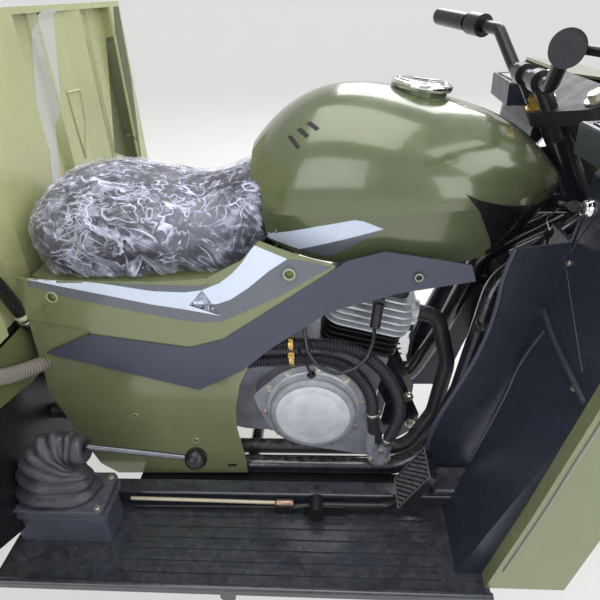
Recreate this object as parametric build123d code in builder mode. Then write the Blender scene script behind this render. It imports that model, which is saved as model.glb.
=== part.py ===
from build123d import *
from math import atan2, cos, degrees, hypot, radians, sin, tan
import os

# Cargo motor trike, built around its motorcycle-type midsection.
# Millimetres. X points forward, Y to the rider's left, Z up.
# The origin is on the ground, on the centre plane, halfway along the vehicle.

os.makedirs("parts", exist_ok=True)

# Wheels and wheelbase
tyre_radius = 290
tyre_width = 135
tyre_sidewall_height = 118
rim_radius = 168
hub_radius = 62
front_axle_x = 1450
rear_axle_x = -900
rear_wheel_y = 520
axle_radius = 14
running_gap = 0.5

# Steering head and fork
rake = 28
axle_offset = 50
fork_leg_y = 108
fork_leg_radius = 19
fork_slider_radius = 27
head_tube_radius = 27
head_tube_low_z = 705
head_tube_high_z = 880
stem_radius = 15
lower_clamp_z = 672
upper_clamp_z = 925
clamp_thickness = 26
clamp_eye_radius = 27
steering_room = 10
guard_half = 76

# Main frame tubes
cradle_tube_radius = 19
cradle_y = 140
cradle_bottom_z = 235
cradle_front_x = 872
cradle_rear_x = 440
backbone_radius = 24
backbone_z = 768
seat_rail_radius = 14
seat_rail_y = 128
seat_rail_z = 652

# Radiator
radiator_x = 1052
radiator_tank_depth = 44

# Rear chassis
chassis_rail_y = 330
chassis_rail_width = 50
chassis_rail_height = 80
chassis_top_z = 610
chassis_front_x = 95
chassis_wall = 4

# Cargo bed
bed_width = 1300
bed_front_x = 125
bed_length = 1830
bed_floor_z = 660
bed_floor_thickness = 3
bed_wall_height = 400
bed_wall_thickness = 32
headboard_depth = 34
headboard_rise = 60
sheet = 2.5
gate_gap = 6

# Engine
engine_x = 655
engine_z = 400
cover_y = 172
cover_radius = 86
casing_radius = 104
cylinder_lean = 15
cylinder_foot_x = 744
cylinder_foot_z = 484
exhaust_port = (862, -30, 551)
plug_x = 781
plug_z = 620
plug_end = 104

# Tank, seat and bodywork
tank_cap_x = 850
tank_cap_radius = 51
panel_thickness = 3
panel_y = 174
cover_seam = 2
boss_length = 12
part_gap = 0.3

# Footboards and controls
rail_y = 221
rail_width = 36
outrigger_radius = 14
outrigger_z = 205
footboard_outer_y = 425
footboard_front_x = 960
footboard_rear_x = 80
footboard_thickness = 4

# Derived places shared by several pieces
rake_rad = radians(rake)
clamp_sweep = hypot(fork_leg_y, axle_offset) + clamp_eye_radius
side_cover_proud = panel_thickness + part_gap
frame_cover_proud = 2 * side_cover_proud
steer_foot_x = front_axle_x - axle_offset / cos(rake_rad)
bed_rear_x = bed_front_x - bed_length
half_bed = bed_width / 2
gearbox_x = engine_x - 135
gearbox_radius = 78
hose_radius = 11
hose_y = -cover_y + 11
footboard_under_z = outrigger_z + outrigger_radius
footboard_top_z = footboard_under_z + footboard_thickness
chassis_bottom_z = chassis_top_z - chassis_rail_height
bead_half_width = tyre_width * 0.37


hinge_x = bed_rear_x - gate_gap - bed_wall_thickness / 2
hinge_z = bed_floor_z - 24
hinge_pin_radius = 5
gate_hinge_y = (-450, 0, 450)


def steer_x(z):
    """Place of the steering axis at a height."""
    return steer_foot_x - (z - tyre_radius) * tan(rake_rad)


def leg_x(z):
    """Place of the fork legs' axis at a height."""
    return front_axle_x - (z - tyre_radius) * tan(rake_rad)


def steer_plane(z):
    """Plane square to the steering axis, at a height on that axis."""
    return Plane(origin=(steer_x(z), 0, z), x_dir=(0, 1, 0), z_dir=(-sin(rake_rad), 0, cos(rake_rad)))


def bent_tube(points, bends, radius):
    """Round bar along straight runs joined by tangent arcs."""
    with BuildPart() as tube:
        with BuildLine() as path:
            FilletPolyline(*points, radius=bends)
        with BuildSketch(Plane(origin=path.line @ 0, z_dir=path.line % 0)):
            Circle(radius)
        sweep()
    return tube.part


def straight_bar(start, end, radius, bore=0):
    """Round bar or pipe between two points."""
    start = Vector(*start)
    end = Vector(*end)
    with BuildPart() as bar:
        with BuildSketch(Plane(origin=start, z_dir=end - start)):
            Circle(radius)
            if bore:
                Circle(bore, mode=Mode.SUBTRACT)
        extrude(amount=(end - start).length)
    return bar.part


def box_between(low, high):
    """Box from its lowest to its highest corner."""
    with BuildPart() as block:
        with BuildSketch(Plane.XY.offset(low[2])):
            with Locations(((low[0] + high[0]) / 2, (low[1] + high[1]) / 2)):
                Rectangle(high[0] - low[0], high[1] - low[1])
        extrude(amount=high[2] - low[2])
    return block.part


# Tubular main frame: steering head, backbone, double cradle and seat rails
seat_cross_x = 540
seat_base_z = 690
tunnel_room = 8
rear_mount_x = 383
rear_mount_z = 440
mount_plate_y = 49
mount_plate = [
    (776, 205),
    (804, 205),
    (876, 262),
    (880, 300),
    (812, 470),
    (808.5, 468),
    (785.5, 382),
    (806, 330),
    (790, 240),
]
cover_stay_radius = 7
cover_stays = [
    # x, z, half length
    (626, 709, panel_y + side_cover_proud - panel_thickness - boss_length - part_gap),
    (843, 701, panel_y + frame_cover_proud - panel_thickness - boss_length - part_gap),
]
frame_flange_x = chassis_front_x + 8
mount_z = chassis_top_z - 32
with BuildPart() as main_frame:
    head_low = (steer_x(head_tube_low_z), 0, head_tube_low_z)
    head_high = (steer_x(head_tube_high_z), 0, head_tube_high_z)
    add(straight_bar(head_low, head_high, head_tube_radius))
    backbone_points = [
        (steer_x(backbone_z), 0, backbone_z),
        (700, 0, backbone_z),
        (seat_cross_x, 0, seat_rail_z),
    ]
    add(bent_tube(backbone_points, [80], backbone_radius))
    for side in (-1, 1):
        cradle_points = [
            (steer_x(740) - 6, side * 20, 740),
            (1000, side * 62, 632),
            (946, side * 112, 420),
            (cradle_front_x, side * cradle_y, cradle_bottom_z),
            (cradle_rear_x, side * cradle_y, cradle_bottom_z),
            (385, side * cradle_y, 430),
            (330, side * seat_rail_y, seat_rail_z),
        ]
        add(bent_tube(cradle_points, [80, 100, 110, 90, 60], cradle_tube_radius))
        rail_points = [
            (seat_cross_x, side * seat_rail_y, seat_rail_z),
            (190, side * seat_rail_y, seat_rail_z),
            (155, side * seat_rail_y, mount_z),
            (frame_flange_x, side * seat_rail_y, mount_z),
        ]
        add(bent_tube(rail_points, [30, 20], seat_rail_radius))
        strut_low = (cradle_rear_x - 12, side * cradle_y, cradle_bottom_z + 8)
        strut_high = (frame_flange_x + 50, side * cradle_y, mount_z)
        add(straight_bar(strut_low, strut_high, seat_rail_radius))
        flange_low = (chassis_front_x, side * cradle_y - 40, mount_z - 24)
        flange_high = (frame_flange_x, side * cradle_y + 40, mount_z + 24)
        add(box_between(flange_low, flange_high))
    for cross_x, cross_z in ((seat_cross_x, seat_rail_z), (330, seat_rail_z), (200, seat_rail_z)):
        cross_end = seat_rail_y
        add(straight_bar((cross_x, -cross_end, cross_z), (cross_x, cross_end, cross_z), seat_rail_radius))
    for side in (-1, 1):
        for pad_x in (320, 420):
            pad_low = (pad_x - 16, side * seat_rail_y - 14, seat_rail_z)
            pad_high = (pad_x + 16, side * seat_rail_y + 14, seat_base_z - 2 * part_gap)
            add(box_between(pad_low, pad_high))
        lug_low = (965, side * 105 - 21, 552)
        lug_high = (radiator_x - radiator_tank_depth / 2 - part_gap, side * 105 + 21, 566)
        add(box_between(lug_low, lug_high))
        with BuildSketch(Plane.XZ.offset(-side * mount_plate_y)):
            with BuildLine():
                Polyline(*mount_plate, close=True)
            make_face()
        extrude(amount=3, both=True)
        mount_low = (rear_mount_x, side * 64 - 4, rear_mount_z - 9)
        mount_high = (rear_mount_x + 71, side * 64 + 4, rear_mount_z + 9)
        add(box_between(mount_low, mount_high))
    for outrigger_x in (cradle_rear_x + 70, cradle_front_x - 82):
        outrigger_end = footboard_outer_y - 5
        left = (outrigger_x, -outrigger_end, outrigger_z)
        right = (outrigger_x, outrigger_end, outrigger_z)
        add(straight_bar(left, right, outrigger_radius))
    rear_mount_end = cradle_y - 4
    mount_ends = [(rear_mount_x, end, rear_mount_z) for end in (-rear_mount_end, rear_mount_end)]
    add(straight_bar(*mount_ends, 14))
    for saddle_x in (690, 950):
        saddle_low = (saddle_x - 18, -20, backbone_z)
        saddle_high = (saddle_x + 18, 20, backbone_z + backbone_radius + tunnel_room - part_gap)
        add(box_between(saddle_low, saddle_high))
    for stay_x, stay_z, stay_end in cover_stays:
        add(straight_bar((stay_x, -stay_end, stay_z), (stay_x, stay_end, stay_z), cover_stay_radius))
        add(straight_bar((stay_x, 0, stay_z), (stay_x, 0, backbone_z - 8), 10))
    with Locations(Plane(origin=head_low, z_dir=Vector(*head_high) - Vector(*head_low))):
        Cylinder(stem_radius + running_gap, 400, mode=Mode.SUBTRACT)
main_frame.part.label = "main_frame"
export_step(main_frame.part, "parts/main_frame.step")

# Rear chassis: two channel rails, cross members and spring hangers
spring_half_span = 430
spring_eye_z = chassis_bottom_z - 45
spring_eye_radius = 16
hanger_thickness = 8
leaf_width = 50
with BuildPart() as rear_chassis:
    for side in (-1, 1):
        with BuildSketch(Plane.YZ.offset(bed_rear_x + 40)):
            with Locations((side * chassis_rail_y, chassis_top_z - chassis_rail_height / 2)):
                Rectangle(chassis_rail_width, chassis_rail_height)
            with Locations((side * (chassis_rail_y - chassis_wall), chassis_top_z - chassis_rail_height / 2)):
                web_depth = chassis_rail_height - 2 * chassis_wall
                Rectangle(chassis_rail_width, web_depth, mode=Mode.SUBTRACT)
        extrude(amount=chassis_front_x - bed_rear_x - 40)
        for eye_x in (rear_axle_x - spring_half_span, rear_axle_x + spring_half_span):
            for face in (-1, 1):
                plate_y = side * chassis_rail_y + face * (leaf_width / 2 + hanger_thickness / 2 + part_gap)
                low = (eye_x - 24, plate_y - hanger_thickness / 2, spring_eye_z - 24)
                high = (eye_x + 24, plate_y + hanger_thickness / 2, chassis_bottom_z)
                add(box_between(low, high))
            cap_low = (eye_x - 30, side * chassis_rail_y - 36, chassis_bottom_z - 6)
            cap_high = (eye_x + 30, side * chassis_rail_y + 36, chassis_bottom_z)
            add(box_between(cap_low, cap_high))
    cross_places = [bed_rear_x + 60, rear_axle_x - 520, rear_axle_x, rear_axle_x + 520, chassis_front_x - 20]
    cross_end = chassis_rail_y + chassis_rail_width / 2 - 1
    for cross_x in cross_places:
        low = (cross_x - 20, -cross_end, chassis_top_z - 58)
        high = (cross_x + 20, cross_end, chassis_top_z - 8)
        add(box_between(low, high))
rear_chassis.part.label = "rear_chassis"
export_step(rear_chassis.part, "parts/rear_chassis.step")

# Leaf springs: a stack of arched leaves over each end of the rear axle
axle_tube_radius = 32
leaf_thickness = 7
leaf_lengths = [1.0, 0.8, 0.6, 0.42, 0.26]
spring_rise = spring_eye_z - (tyre_radius + axle_tube_radius + leaf_thickness * len(leaf_lengths))
arch_radius = (spring_half_span**2 + spring_rise**2) / (2 * spring_rise)
arch_centre_z = spring_eye_z - spring_rise + arch_radius
with BuildPart() as leaf_springs:
    for side in (-1, 1):
        with BuildSketch(Plane.XZ.offset(-side * chassis_rail_y)):
            for place, share in enumerate(leaf_lengths):
                with BuildSketch(mode=Mode.PRIVATE) as leaf:
                    with Locations((rear_axle_x, arch_centre_z)):
                        Circle(arch_radius + leaf_thickness * (place + 1))
                        Circle(arch_radius + leaf_thickness * place, mode=Mode.SUBTRACT)
                    with Locations((rear_axle_x, spring_eye_z - spring_rise)):
                        reach = 2 * spring_half_span * share
                        Rectangle(reach, 2 * spring_rise + 60, mode=Mode.INTERSECT)
                add(leaf.sketch)
            with Locations(
                (rear_axle_x - spring_half_span, spring_eye_z), (rear_axle_x + spring_half_span, spring_eye_z)
            ):
                Circle(spring_eye_radius)
        extrude(amount=leaf_width / 2, both=True)
        clamp_low = (rear_axle_x - 45, side * chassis_rail_y - 34, tyre_radius + axle_tube_radius)
        clamp_high = (rear_axle_x + 45, side * chassis_rail_y + 34, spring_eye_z - spring_rise + 22)
        add(box_between(clamp_low, clamp_high))
leaf_springs.part.label = "leaf_springs"
export_step(leaf_springs.part, "parts/leaf_springs.step")

# Rear axle: banjo housing with its drive case and brake back plates
drive_case_radius = 112
back_plate_radius = 104
back_plate_y = rear_wheel_y - 78
axle_profile = [
    (0, -back_plate_y),
    (back_plate_radius, -back_plate_y),
    (back_plate_radius, -back_plate_y + 10),
    (axle_tube_radius, -back_plate_y + 14),
    (axle_tube_radius, -105),
    (drive_case_radius, -48),
    (drive_case_radius, 48),
    (axle_tube_radius, 105),
    (axle_tube_radius, back_plate_y - 14),
    (back_plate_radius, back_plate_y - 10),
    (back_plate_radius, back_plate_y),
    (0, back_plate_y),
]
with BuildPart() as rear_axle:
    with BuildSketch(Plane(origin=(rear_axle_x, 0, tyre_radius))):
        with BuildLine():
            Polyline(*axle_profile, close=True)
        make_face()
    revolve(axis=Axis((rear_axle_x, 0, tyre_radius), (0, 1, 0)))
    shaft_end = rear_wheel_y + 36
    add(straight_bar((rear_axle_x, -shaft_end, tyre_radius), (rear_axle_x, shaft_end, tyre_radius), axle_radius))
    nose_end = (rear_axle_x + 190, 0, tyre_radius + 20)
    add(straight_bar((rear_axle_x, 0, tyre_radius), nose_end, 42))
    shaft_front = (gearbox_x - gearbox_radius - part_gap, 0, engine_z - 15)
    add(straight_bar(nose_end, shaft_front, 20))
rear_axle.part.label = "rear_axle"
export_step(rear_axle.part, "parts/rear_axle.step")


# Wheels: pressed steel rims with bolted hubs, and plain tyres
rim_profile = [
    (axle_radius + running_gap, -hub_radius * 0.75),
    (34, -hub_radius * 0.75),
    (36, -24),
    (hub_radius + 22, -14),
    (hub_radius + 46, -26),
    (rim_radius - 22, -20),
    (rim_radius - 14, -bead_half_width + 4),
    (rim_radius - 3, -bead_half_width - 5),
    (rim_radius + 12, -bead_half_width - 8),
    (rim_radius + 12, -bead_half_width - 4),
    (rim_radius, -bead_half_width),
    (rim_radius, bead_half_width),
    (rim_radius + 12, bead_half_width + 4),
    (rim_radius + 12, bead_half_width + 8),
    (rim_radius - 3, bead_half_width + 5),
    (rim_radius - 14, bead_half_width - 4),
    (rim_radius - 22, -12),
    (hub_radius + 46, -18),
    (hub_radius + 22, -6),
    (40, 2),
    (40, 28),
    (axle_radius + running_gap, 28),
]


def make_rim(x, y, outward):
    """Rim on an axle along Y, with its dished face turned outward."""
    with BuildPart() as rim:
        with BuildSketch(Plane(origin=(x, y, tyre_radius))):
            with BuildLine():
                Polyline(*[(r, -outward * depth) for r, depth in rim_profile], close=True)
            make_face()
        revolve(axis=Axis((x, y, tyre_radius), (0, 1, 0)))
        with Locations(Plane(origin=(x, y, tyre_radius), z_dir=(0, 1, 0))):
            with PolarLocations(rim_radius - 42, 8):
                Cylinder(13, 200, mode=Mode.SUBTRACT)
    return rim.part


def make_tyre(x, y):
    """Tyre as a closed ring with rounded walls and a shallow crown."""
    half = tyre_width / 2
    wall_radius = tyre_radius - 34
    with BuildPart() as tyre:
        with BuildSketch(Plane(origin=(x, y, tyre_radius))):
            with BuildLine():
                Line((rim_radius, -bead_half_width), (rim_radius, bead_half_width))
                Line((rim_radius, bead_half_width), (rim_radius + 14, bead_half_width + 3))
                wall_points = [(rim_radius + 14, bead_half_width + 3), (wall_radius - 24, half), (wall_radius + 14, half - 6)]
                ThreePointArc(*wall_points)
                crown_edge = (tyre_radius - 8, half - 20)
                Line((wall_radius + 14, half - 6), crown_edge)
                ThreePointArc(crown_edge, (tyre_radius, 0), (tyre_radius - 8, 20 - half))
                Line((tyre_radius - 8, 20 - half), (wall_radius + 14, 6 - half))
                ThreePointArc(*[(r, -across) for r, across in reversed(wall_points)])
                Line((rim_radius + 14, -bead_half_width - 3), (rim_radius, -bead_half_width))
            make_face()
        revolve(axis=Axis((x, y, tyre_radius), (0, 1, 0)))
    return tyre.part


wheel_places = [
    ("front", front_axle_x, 0, -1),
    ("right", rear_axle_x, -rear_wheel_y, -1),
    ("left", rear_axle_x, rear_wheel_y, 1),
]
for wheel_name, wheel_x, wheel_y, outward in wheel_places:
    wheel_rim = make_rim(wheel_x, wheel_y, outward)
    wheel_rim.label = f"{wheel_name}_rim"
    export_step(wheel_rim, f"parts/{wheel_name}_rim.step")
    wheel_tyre = make_tyre(wheel_x, wheel_y)
    wheel_tyre.label = f"{wheel_name}_tyre"
    export_step(wheel_tyre, f"parts/{wheel_name}_tyre.step")

# Steering: stem, two clamps, fork legs with sliders, and the front axle
with BuildPart() as fork:
    for clamp_z in (lower_clamp_z, upper_clamp_z):
        with BuildSketch(steer_plane(clamp_z).offset(-clamp_thickness / 2)):
            with Locations((-fork_leg_y, -axle_offset), (fork_leg_y, -axle_offset)):
                Circle(clamp_eye_radius)
            Circle(head_tube_radius)
            make_hull()
        extrude(amount=clamp_thickness)
    stem_low = (steer_x(lower_clamp_z), 0, lower_clamp_z)
    stem_high = (steer_x(upper_clamp_z), 0, upper_clamp_z)
    add(straight_bar(stem_low, stem_high, stem_radius))
    for side in (-1, 1):
        leg_y = side * fork_leg_y
        leg_top = (leg_x(upper_clamp_z + 14), leg_y, upper_clamp_z + 14)
        leg_mid = (leg_x(560), leg_y, 560)
        leg_low = (leg_x(tyre_radius - 14), leg_y, tyre_radius - 14)
        add(straight_bar(leg_top, leg_mid, fork_leg_radius))
        add(straight_bar(leg_mid, leg_low, fork_slider_radius))
        boss_z = tyre_radius + 250
        boss_start = side * (guard_half + part_gap)
        add(straight_bar((leg_x(boss_z), boss_start, boss_z), (leg_x(boss_z), leg_y, boss_z), 12))
    axle_end = fork_leg_y + fork_slider_radius + 12
    add(straight_bar((front_axle_x, -axle_end, tyre_radius), (front_axle_x, axle_end, tyre_radius), axle_radius))
fork.part.label = "fork"
export_step(fork.part, "parts/fork.step")


# Cargo bed floor: pressed sheet on cross bearers that rest on the chassis rails
bearer_count = 7
bearer_width = 42
floor_front_x = bed_front_x - headboard_depth
floor_y = half_bed - bed_wall_thickness - part_gap
with BuildPart() as bed_floor:
    low = (bed_rear_x, -floor_y, bed_floor_z - bed_floor_thickness)
    high = (floor_front_x - part_gap, floor_y, bed_floor_z)
    add(box_between(low, high))
    bearer_pitch = (floor_front_x - bed_rear_x - 2 * bearer_width) / (bearer_count - 1)
    for place in range(bearer_count):
        bearer_x = bed_rear_x + bearer_width + place * bearer_pitch
        low = (bearer_x - bearer_width / 2, -floor_y, chassis_top_z)
        high = (bearer_x + bearer_width / 2, floor_y, bed_floor_z - bed_floor_thickness)
        add(box_between(low, high))
    add(box_between((bed_rear_x, -floor_y, chassis_top_z), (bed_rear_x + 20, floor_y, bed_floor_z - 1)))
    for hinge_y in gate_hinge_y:
        for face in (-1, 1):
            with BuildSketch(Plane.XZ.offset(-hinge_y - face * 32)):
                with Locations((hinge_x, hinge_z)):
                    Circle(12)
                with Locations(((hinge_x + bed_rear_x) / 2, hinge_z)):
                    Rectangle(bed_rear_x - hinge_x, 24)
                with Locations((hinge_x, hinge_z)):
                    Circle(hinge_pin_radius + running_gap, mode=Mode.SUBTRACT)
            extrude(amount=8, both=True)
    rib_pitch = 130
    for place in range(-4, 5):
        low = (bed_rear_x + 40, place * rib_pitch - 12, bed_floor_z)
        high = (floor_front_x - 40, place * rib_pitch + 12, bed_floor_z + 3)
        add(box_between(low, high))
bed_floor.part.label = "bed_floor"
export_step(bed_floor.part, "parts/bed_floor.step")

# Headboard: a deep-pressed sheet between corner posts, seen right behind the seat
headboard_top_z = bed_floor_z + bed_wall_height + headboard_rise
post_width = 75
recess_width = 97
ramp_width = 93
headboard_press = [
    # across, depth behind the front face
    (95, 0),
    (130, 22),
    (188, 22),
    (198, 7),
    (296, 7),
    (half_bed - post_width - recess_width - ramp_width, 0),
    (half_bed - post_width - recess_width, 26),
    (half_bed - post_width, 26),
]
rail_height = 42
with BuildPart() as headboard:
    with BuildSketch(Plane.XY.offset(chassis_top_z)):
        with BuildLine() as pressed_line:
            far = [(bed_front_x - depth, across) for across, depth in reversed(headboard_press)]
            near = [(bed_front_x - depth, -across) for across, depth in headboard_press]
            back = [(x - sheet, y) for x, y in reversed(far + near)]
            Polyline(*(far + near + back), close=True)
        make_face()
    extrude(amount=headboard_top_z - chassis_top_z)
    for side in (-1, 1):
        with BuildSketch(Plane.XY.offset(chassis_top_z)):
            with Locations((bed_front_x - headboard_depth / 2, side * (half_bed - post_width / 2))):
                RectangleRounded(headboard_depth, post_width, 6)
        extrude(amount=headboard_top_z - chassis_top_z)
    for rail_z in (chassis_top_z, bed_floor_z + 150, headboard_top_z - rail_height):
        low = (bed_front_x - headboard_depth, -half_bed + post_width, rail_z)
        high = (bed_front_x - headboard_depth + 7, half_bed - post_width, rail_z + rail_height)
        add(box_between(low, high))
    low = (bed_front_x - headboard_depth, -half_bed + post_width, headboard_top_z - 12)
    high = (bed_front_x, half_bed - post_width, headboard_top_z)
    add(box_between(low, high))
headboard.part.label = "headboard"
export_step(headboard.part, "parts/headboard.step")

# Bed sides: pressed sheets with upright ribs between a top and a bottom rail
side_rail_height = 46
side_rib_pitch = 240
side_front_x = bed_front_x - headboard_depth - part_gap
side_rear_x = bed_rear_x
for side_name, side in (("right", -1), ("left", 1)):
    outer_y = side * half_bed
    inner_y = side * (half_bed - bed_wall_thickness)
    wall_top_z = bed_floor_z + bed_wall_height
    with BuildPart() as bed_side:
        for rail_z in (chassis_top_z, wall_top_z - side_rail_height):
            low = (side_rear_x, min(outer_y, inner_y), rail_z)
            high = (side_front_x, max(outer_y, inner_y), rail_z + side_rail_height)
            add(box_between(low, high))
        sheet_y = side * (half_bed - bed_wall_thickness / 2)
        low = (side_rear_x, sheet_y - sheet / 2, chassis_top_z)
        high = (side_front_x, sheet_y + sheet / 2, wall_top_z)
        add(box_between(low, high))
        rib_count = int((side_front_x - side_rear_x - 90) // side_rib_pitch) + 1
        for place in range(rib_count):
            rib_x = side_rear_x + 60 + place * side_rib_pitch
            with BuildSketch(Plane.XY.offset(chassis_top_z)):
                with BuildLine():
                    foot = side * (half_bed - bed_wall_thickness / 2)
                    crown = side * (half_bed - 4)
                    rib = [(rib_x - 46, foot), (rib_x - 26, crown), (rib_x + 26, crown), (rib_x + 46, foot)]
                    Polyline(*rib, close=True)
                make_face()
            extrude(amount=bed_wall_height + bed_floor_z - chassis_top_z - 4)
    bed_side.part.label = f"bed_side_{side_name}"
    export_step(bed_side.part, f"parts/bed_side_{side_name}.step")

# Tailgate, hinged along its lower edge behind the floor
gate_half = half_bed - 2
gate_low_z = bed_floor_z - 6
with BuildPart() as tailgate:
    gate_front_x = bed_rear_x - gate_gap
    gate_rear_x = gate_front_x - bed_wall_thickness
    wall_top_z = bed_floor_z + bed_wall_height
    for rail_z in (gate_low_z, wall_top_z - side_rail_height):
        low = (gate_rear_x, -gate_half, rail_z)
        high = (gate_front_x, gate_half, rail_z + side_rail_height)
        add(box_between(low, high))
    middle_x = (gate_front_x + gate_rear_x) / 2
    add(box_between((middle_x - sheet / 2, -gate_half, gate_low_z), (middle_x + sheet / 2, gate_half, wall_top_z)))
    for rib_y in (-gate_half + 30, -400, -200, 0, 200, 400, gate_half - 30):
        low = (gate_rear_x + 3, rib_y - 28, gate_low_z)
        high = (middle_x, rib_y + 28, wall_top_z - 3)
        add(box_between(low, high))
    for hinge_y in gate_hinge_y:
        with BuildSketch(Plane.XZ.offset(-hinge_y)):
            with Locations((hinge_x, hinge_z)):
                Circle(11)
            with Locations((hinge_x, (hinge_z + gate_low_z + 4) / 2)):
                Rectangle(14, gate_low_z + 4 - hinge_z)
        extrude(amount=22, both=True)
        with BuildSketch(Plane.XZ.offset(-hinge_y)):
            with Locations((hinge_x, hinge_z)):
                Circle(hinge_pin_radius)
        extrude(amount=42, both=True)
tailgate.part.label = "tailgate"
export_step(tailgate.part, "parts/tailgate.step")


# Runs of the two coolant hoses, from behind the frame cover down to the pump
outer_hose = [
    (500, hose_y + 20, 548),
    (622, hose_y, 563),
    (745, hose_y, 552),
    (822, hose_y, 440),
    (800, hose_y, 319),
]
inner_hose = [
    (500, hose_y + 20, 512),
    (619, hose_y, 524),
    (716, hose_y, 514),
    (776, hose_y, 424),
    (772, hose_y, 352),
]

# Engine: crankcase with round clutch cover, gearbox end, sump and magneto cover
case_half_width = 112
with BuildPart() as engine_block:
    with BuildSketch(Plane.XZ):
        with Locations((engine_x, engine_z)):
            Circle(casing_radius - 6)
        with Locations((gearbox_x, engine_z - 12)):
            Circle(gearbox_radius)
        make_hull()
    extrude(amount=case_half_width, both=True)
    cylinder_plane = Plane(
        origin=(cylinder_foot_x, 0, cylinder_foot_z),
        x_dir=(0, 1, 0),
        z_dir=(sin(radians(cylinder_lean)), 0, cos(radians(cylinder_lean))),
    )
    with BuildSketch(cylinder_plane):
        Rectangle(150, 130)
    extrude(amount=-90)
    with BuildSketch(Plane.XZ.offset(case_half_width)):
        with Locations((engine_x, engine_z)):
            Circle(casing_radius)
        with Locations((engine_x + 84, engine_z - 62)):
            Circle(34)
        with Locations((engine_x - 92, engine_z + 24)):
            Circle(24)
        with Locations((engine_x + 136, engine_z - 112)):
            Circle(20)
        make_hull()
    extrude(amount=36)
    with BuildSketch(Plane.XZ.offset(case_half_width + 36)):
        with Locations((engine_x, engine_z)):
            Circle(cover_radius)
    extrude(amount=cover_y - case_half_width - 36)
    cover_rim = engine_block.edges().filter_by(GeomType.CIRCLE).group_by(Axis.Y)[0]
    fillet(cover_rim, radius=10)
    with BuildSketch(Plane.XZ.offset(case_half_width)):
        with Locations((engine_x + 131, engine_z - 110)):
            Circle(24)
    extrude(amount=-hose_y + 10 - case_half_width)
    for hose_points in (outer_hose, inner_hose):
        hose_end = Vector(*hose_points[-1])
        along = (hose_end - Vector(*hose_points[-2])).normalized()
        add(straight_bar(hose_end + along * part_gap, hose_end + along * 48, hose_radius + 2))
    with BuildSketch(Plane.XZ.offset(-case_half_width)):
        with Locations((engine_x + 10, engine_z)):
            Circle(82)
    extrude(amount=-34)
    with Locations((engine_x - 20, 0, engine_z - casing_radius - 4)):
        Box(170, 150, 44)
engine_block.part.label = "engine_block"
export_step(engine_block.part, "parts/engine_block.step")

# Barrel and head, each a core with cooling fins square to the leaning cylinder axis
barrel_height = 62
head_height = 104
barrel_fins = [(150, 158)] * 5
head_fins = [(186, 168), (190, 172), (190, 172), (188, 170), (184, 166), (176, 158)]
fin_thickness = 3.4
with BuildPart() as cylinder_barrel:
    with BuildSketch(cylinder_plane):
        RectangleRounded(116, 112, 30)
    extrude(amount=barrel_height)
    for place, (fin_y, fin_x) in enumerate(barrel_fins):
        fin_height = 6 + place * (barrel_height - 12) / (len(barrel_fins) - 1)
        with BuildSketch(cylinder_plane.offset(fin_height)):
            RectangleRounded(fin_y, fin_x, 26)
        extrude(amount=fin_thickness)
cylinder_barrel.part.label = "cylinder_barrel"
export_step(cylinder_barrel.part, "parts/cylinder_barrel.step")

with BuildPart() as cylinder_head:
    head_plane = cylinder_plane.offset(barrel_height)
    with BuildSketch(head_plane):
        RectangleRounded(140, 128, 24)
    extrude(amount=head_height)
    for place, (fin_y, fin_x) in enumerate(head_fins):
        fin_height = 2 + place * (head_height - 34) / (len(head_fins) - 1)
        with BuildSketch(head_plane.offset(fin_height)):
            RectangleRounded(fin_y, fin_x, 34)
        extrude(amount=fin_thickness)
    with BuildSketch(head_plane.offset(head_height)):
        RectangleRounded(104, 116, 20)
    extrude(amount=16)
    port_root = (exhaust_port[0] - 60, exhaust_port[1], exhaust_port[2] + 15)
    add(straight_bar(port_root, exhaust_port, 24))
    add(straight_bar((plug_x, -60, plug_z), (plug_x, -plug_end, plug_z), 9))
cylinder_head.part.label = "cylinder_head"
export_step(cylinder_head.part, "parts/cylinder_head.step")

# Spark plug cap, its lead looped past the hoses, and the coil hung under the cover stay
cap_end = (774, -124, 575)
lead_points = [
    cap_end,
    (770, -150, 560),
    (758, -178, 544),
    (735, -185, 525),
    (705, -187, 514),
    (671, -186, 530),
    (652, -182, 561),
    (646, -163, 600),
    (640, -145, 632),
    (640, -140, 670),
]
coil_top_z = cover_stays[0][1] - cover_stay_radius - part_gap
with BuildPart() as spark_lead:
    add(straight_bar((plug_x, -plug_end - part_gap, plug_z), (plug_x, -plug_end - 14, plug_z), 12))
    add(straight_bar((plug_x, -plug_end - 10, plug_z), cap_end, 10))
    add(bent_tube(lead_points, [14, 16, 16, 20, 20, 20, 20, 16], 3.5))
    add(box_between((604, -156, coil_top_z - 44), (656, -124, coil_top_z)))
spark_lead.part.label = "spark_lead"
export_step(spark_lead.part, "parts/spark_lead.step")

# Exhaust: header, pipe along the cradle and silencer under the bed
exhaust_radius = 16
silencer_radius = 48
silencer_y = -150
silencer_z = 400
exhaust_points = [
    exhaust_port,
    (exhaust_port[0] + 44, exhaust_port[1], exhaust_port[2] - 11),
    (930, -50, 440),
    (905, -78, 330),
    (850, -98, 246),
    (440, -98, 246),
    (300, -100, 262),
    (180, -104, 340),
    (60, silencer_y, silencer_z),
]
with BuildPart() as exhaust:
    add(bent_tube(exhaust_points, [34, 60, 60, 60, 120, 60, 60], exhaust_radius))
    with BuildSketch(Plane.YZ.offset(66)):
        with Locations((silencer_y, silencer_z)):
            Circle(silencer_radius)
    extrude(amount=-460)
    fillet(exhaust.edges().filter_by(GeomType.CIRCLE).group_by(Axis.X)[0], radius=14)
    low = (rear_axle_x + 510, silencer_y - 6, silencer_z + silencer_radius - 6)
    high = (rear_axle_x + 530, silencer_y + 6, chassis_top_z - 58)
    add(box_between(low, high))
exhaust.part.label = "exhaust"
export_step(exhaust.part, "parts/exhaust.step")

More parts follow.
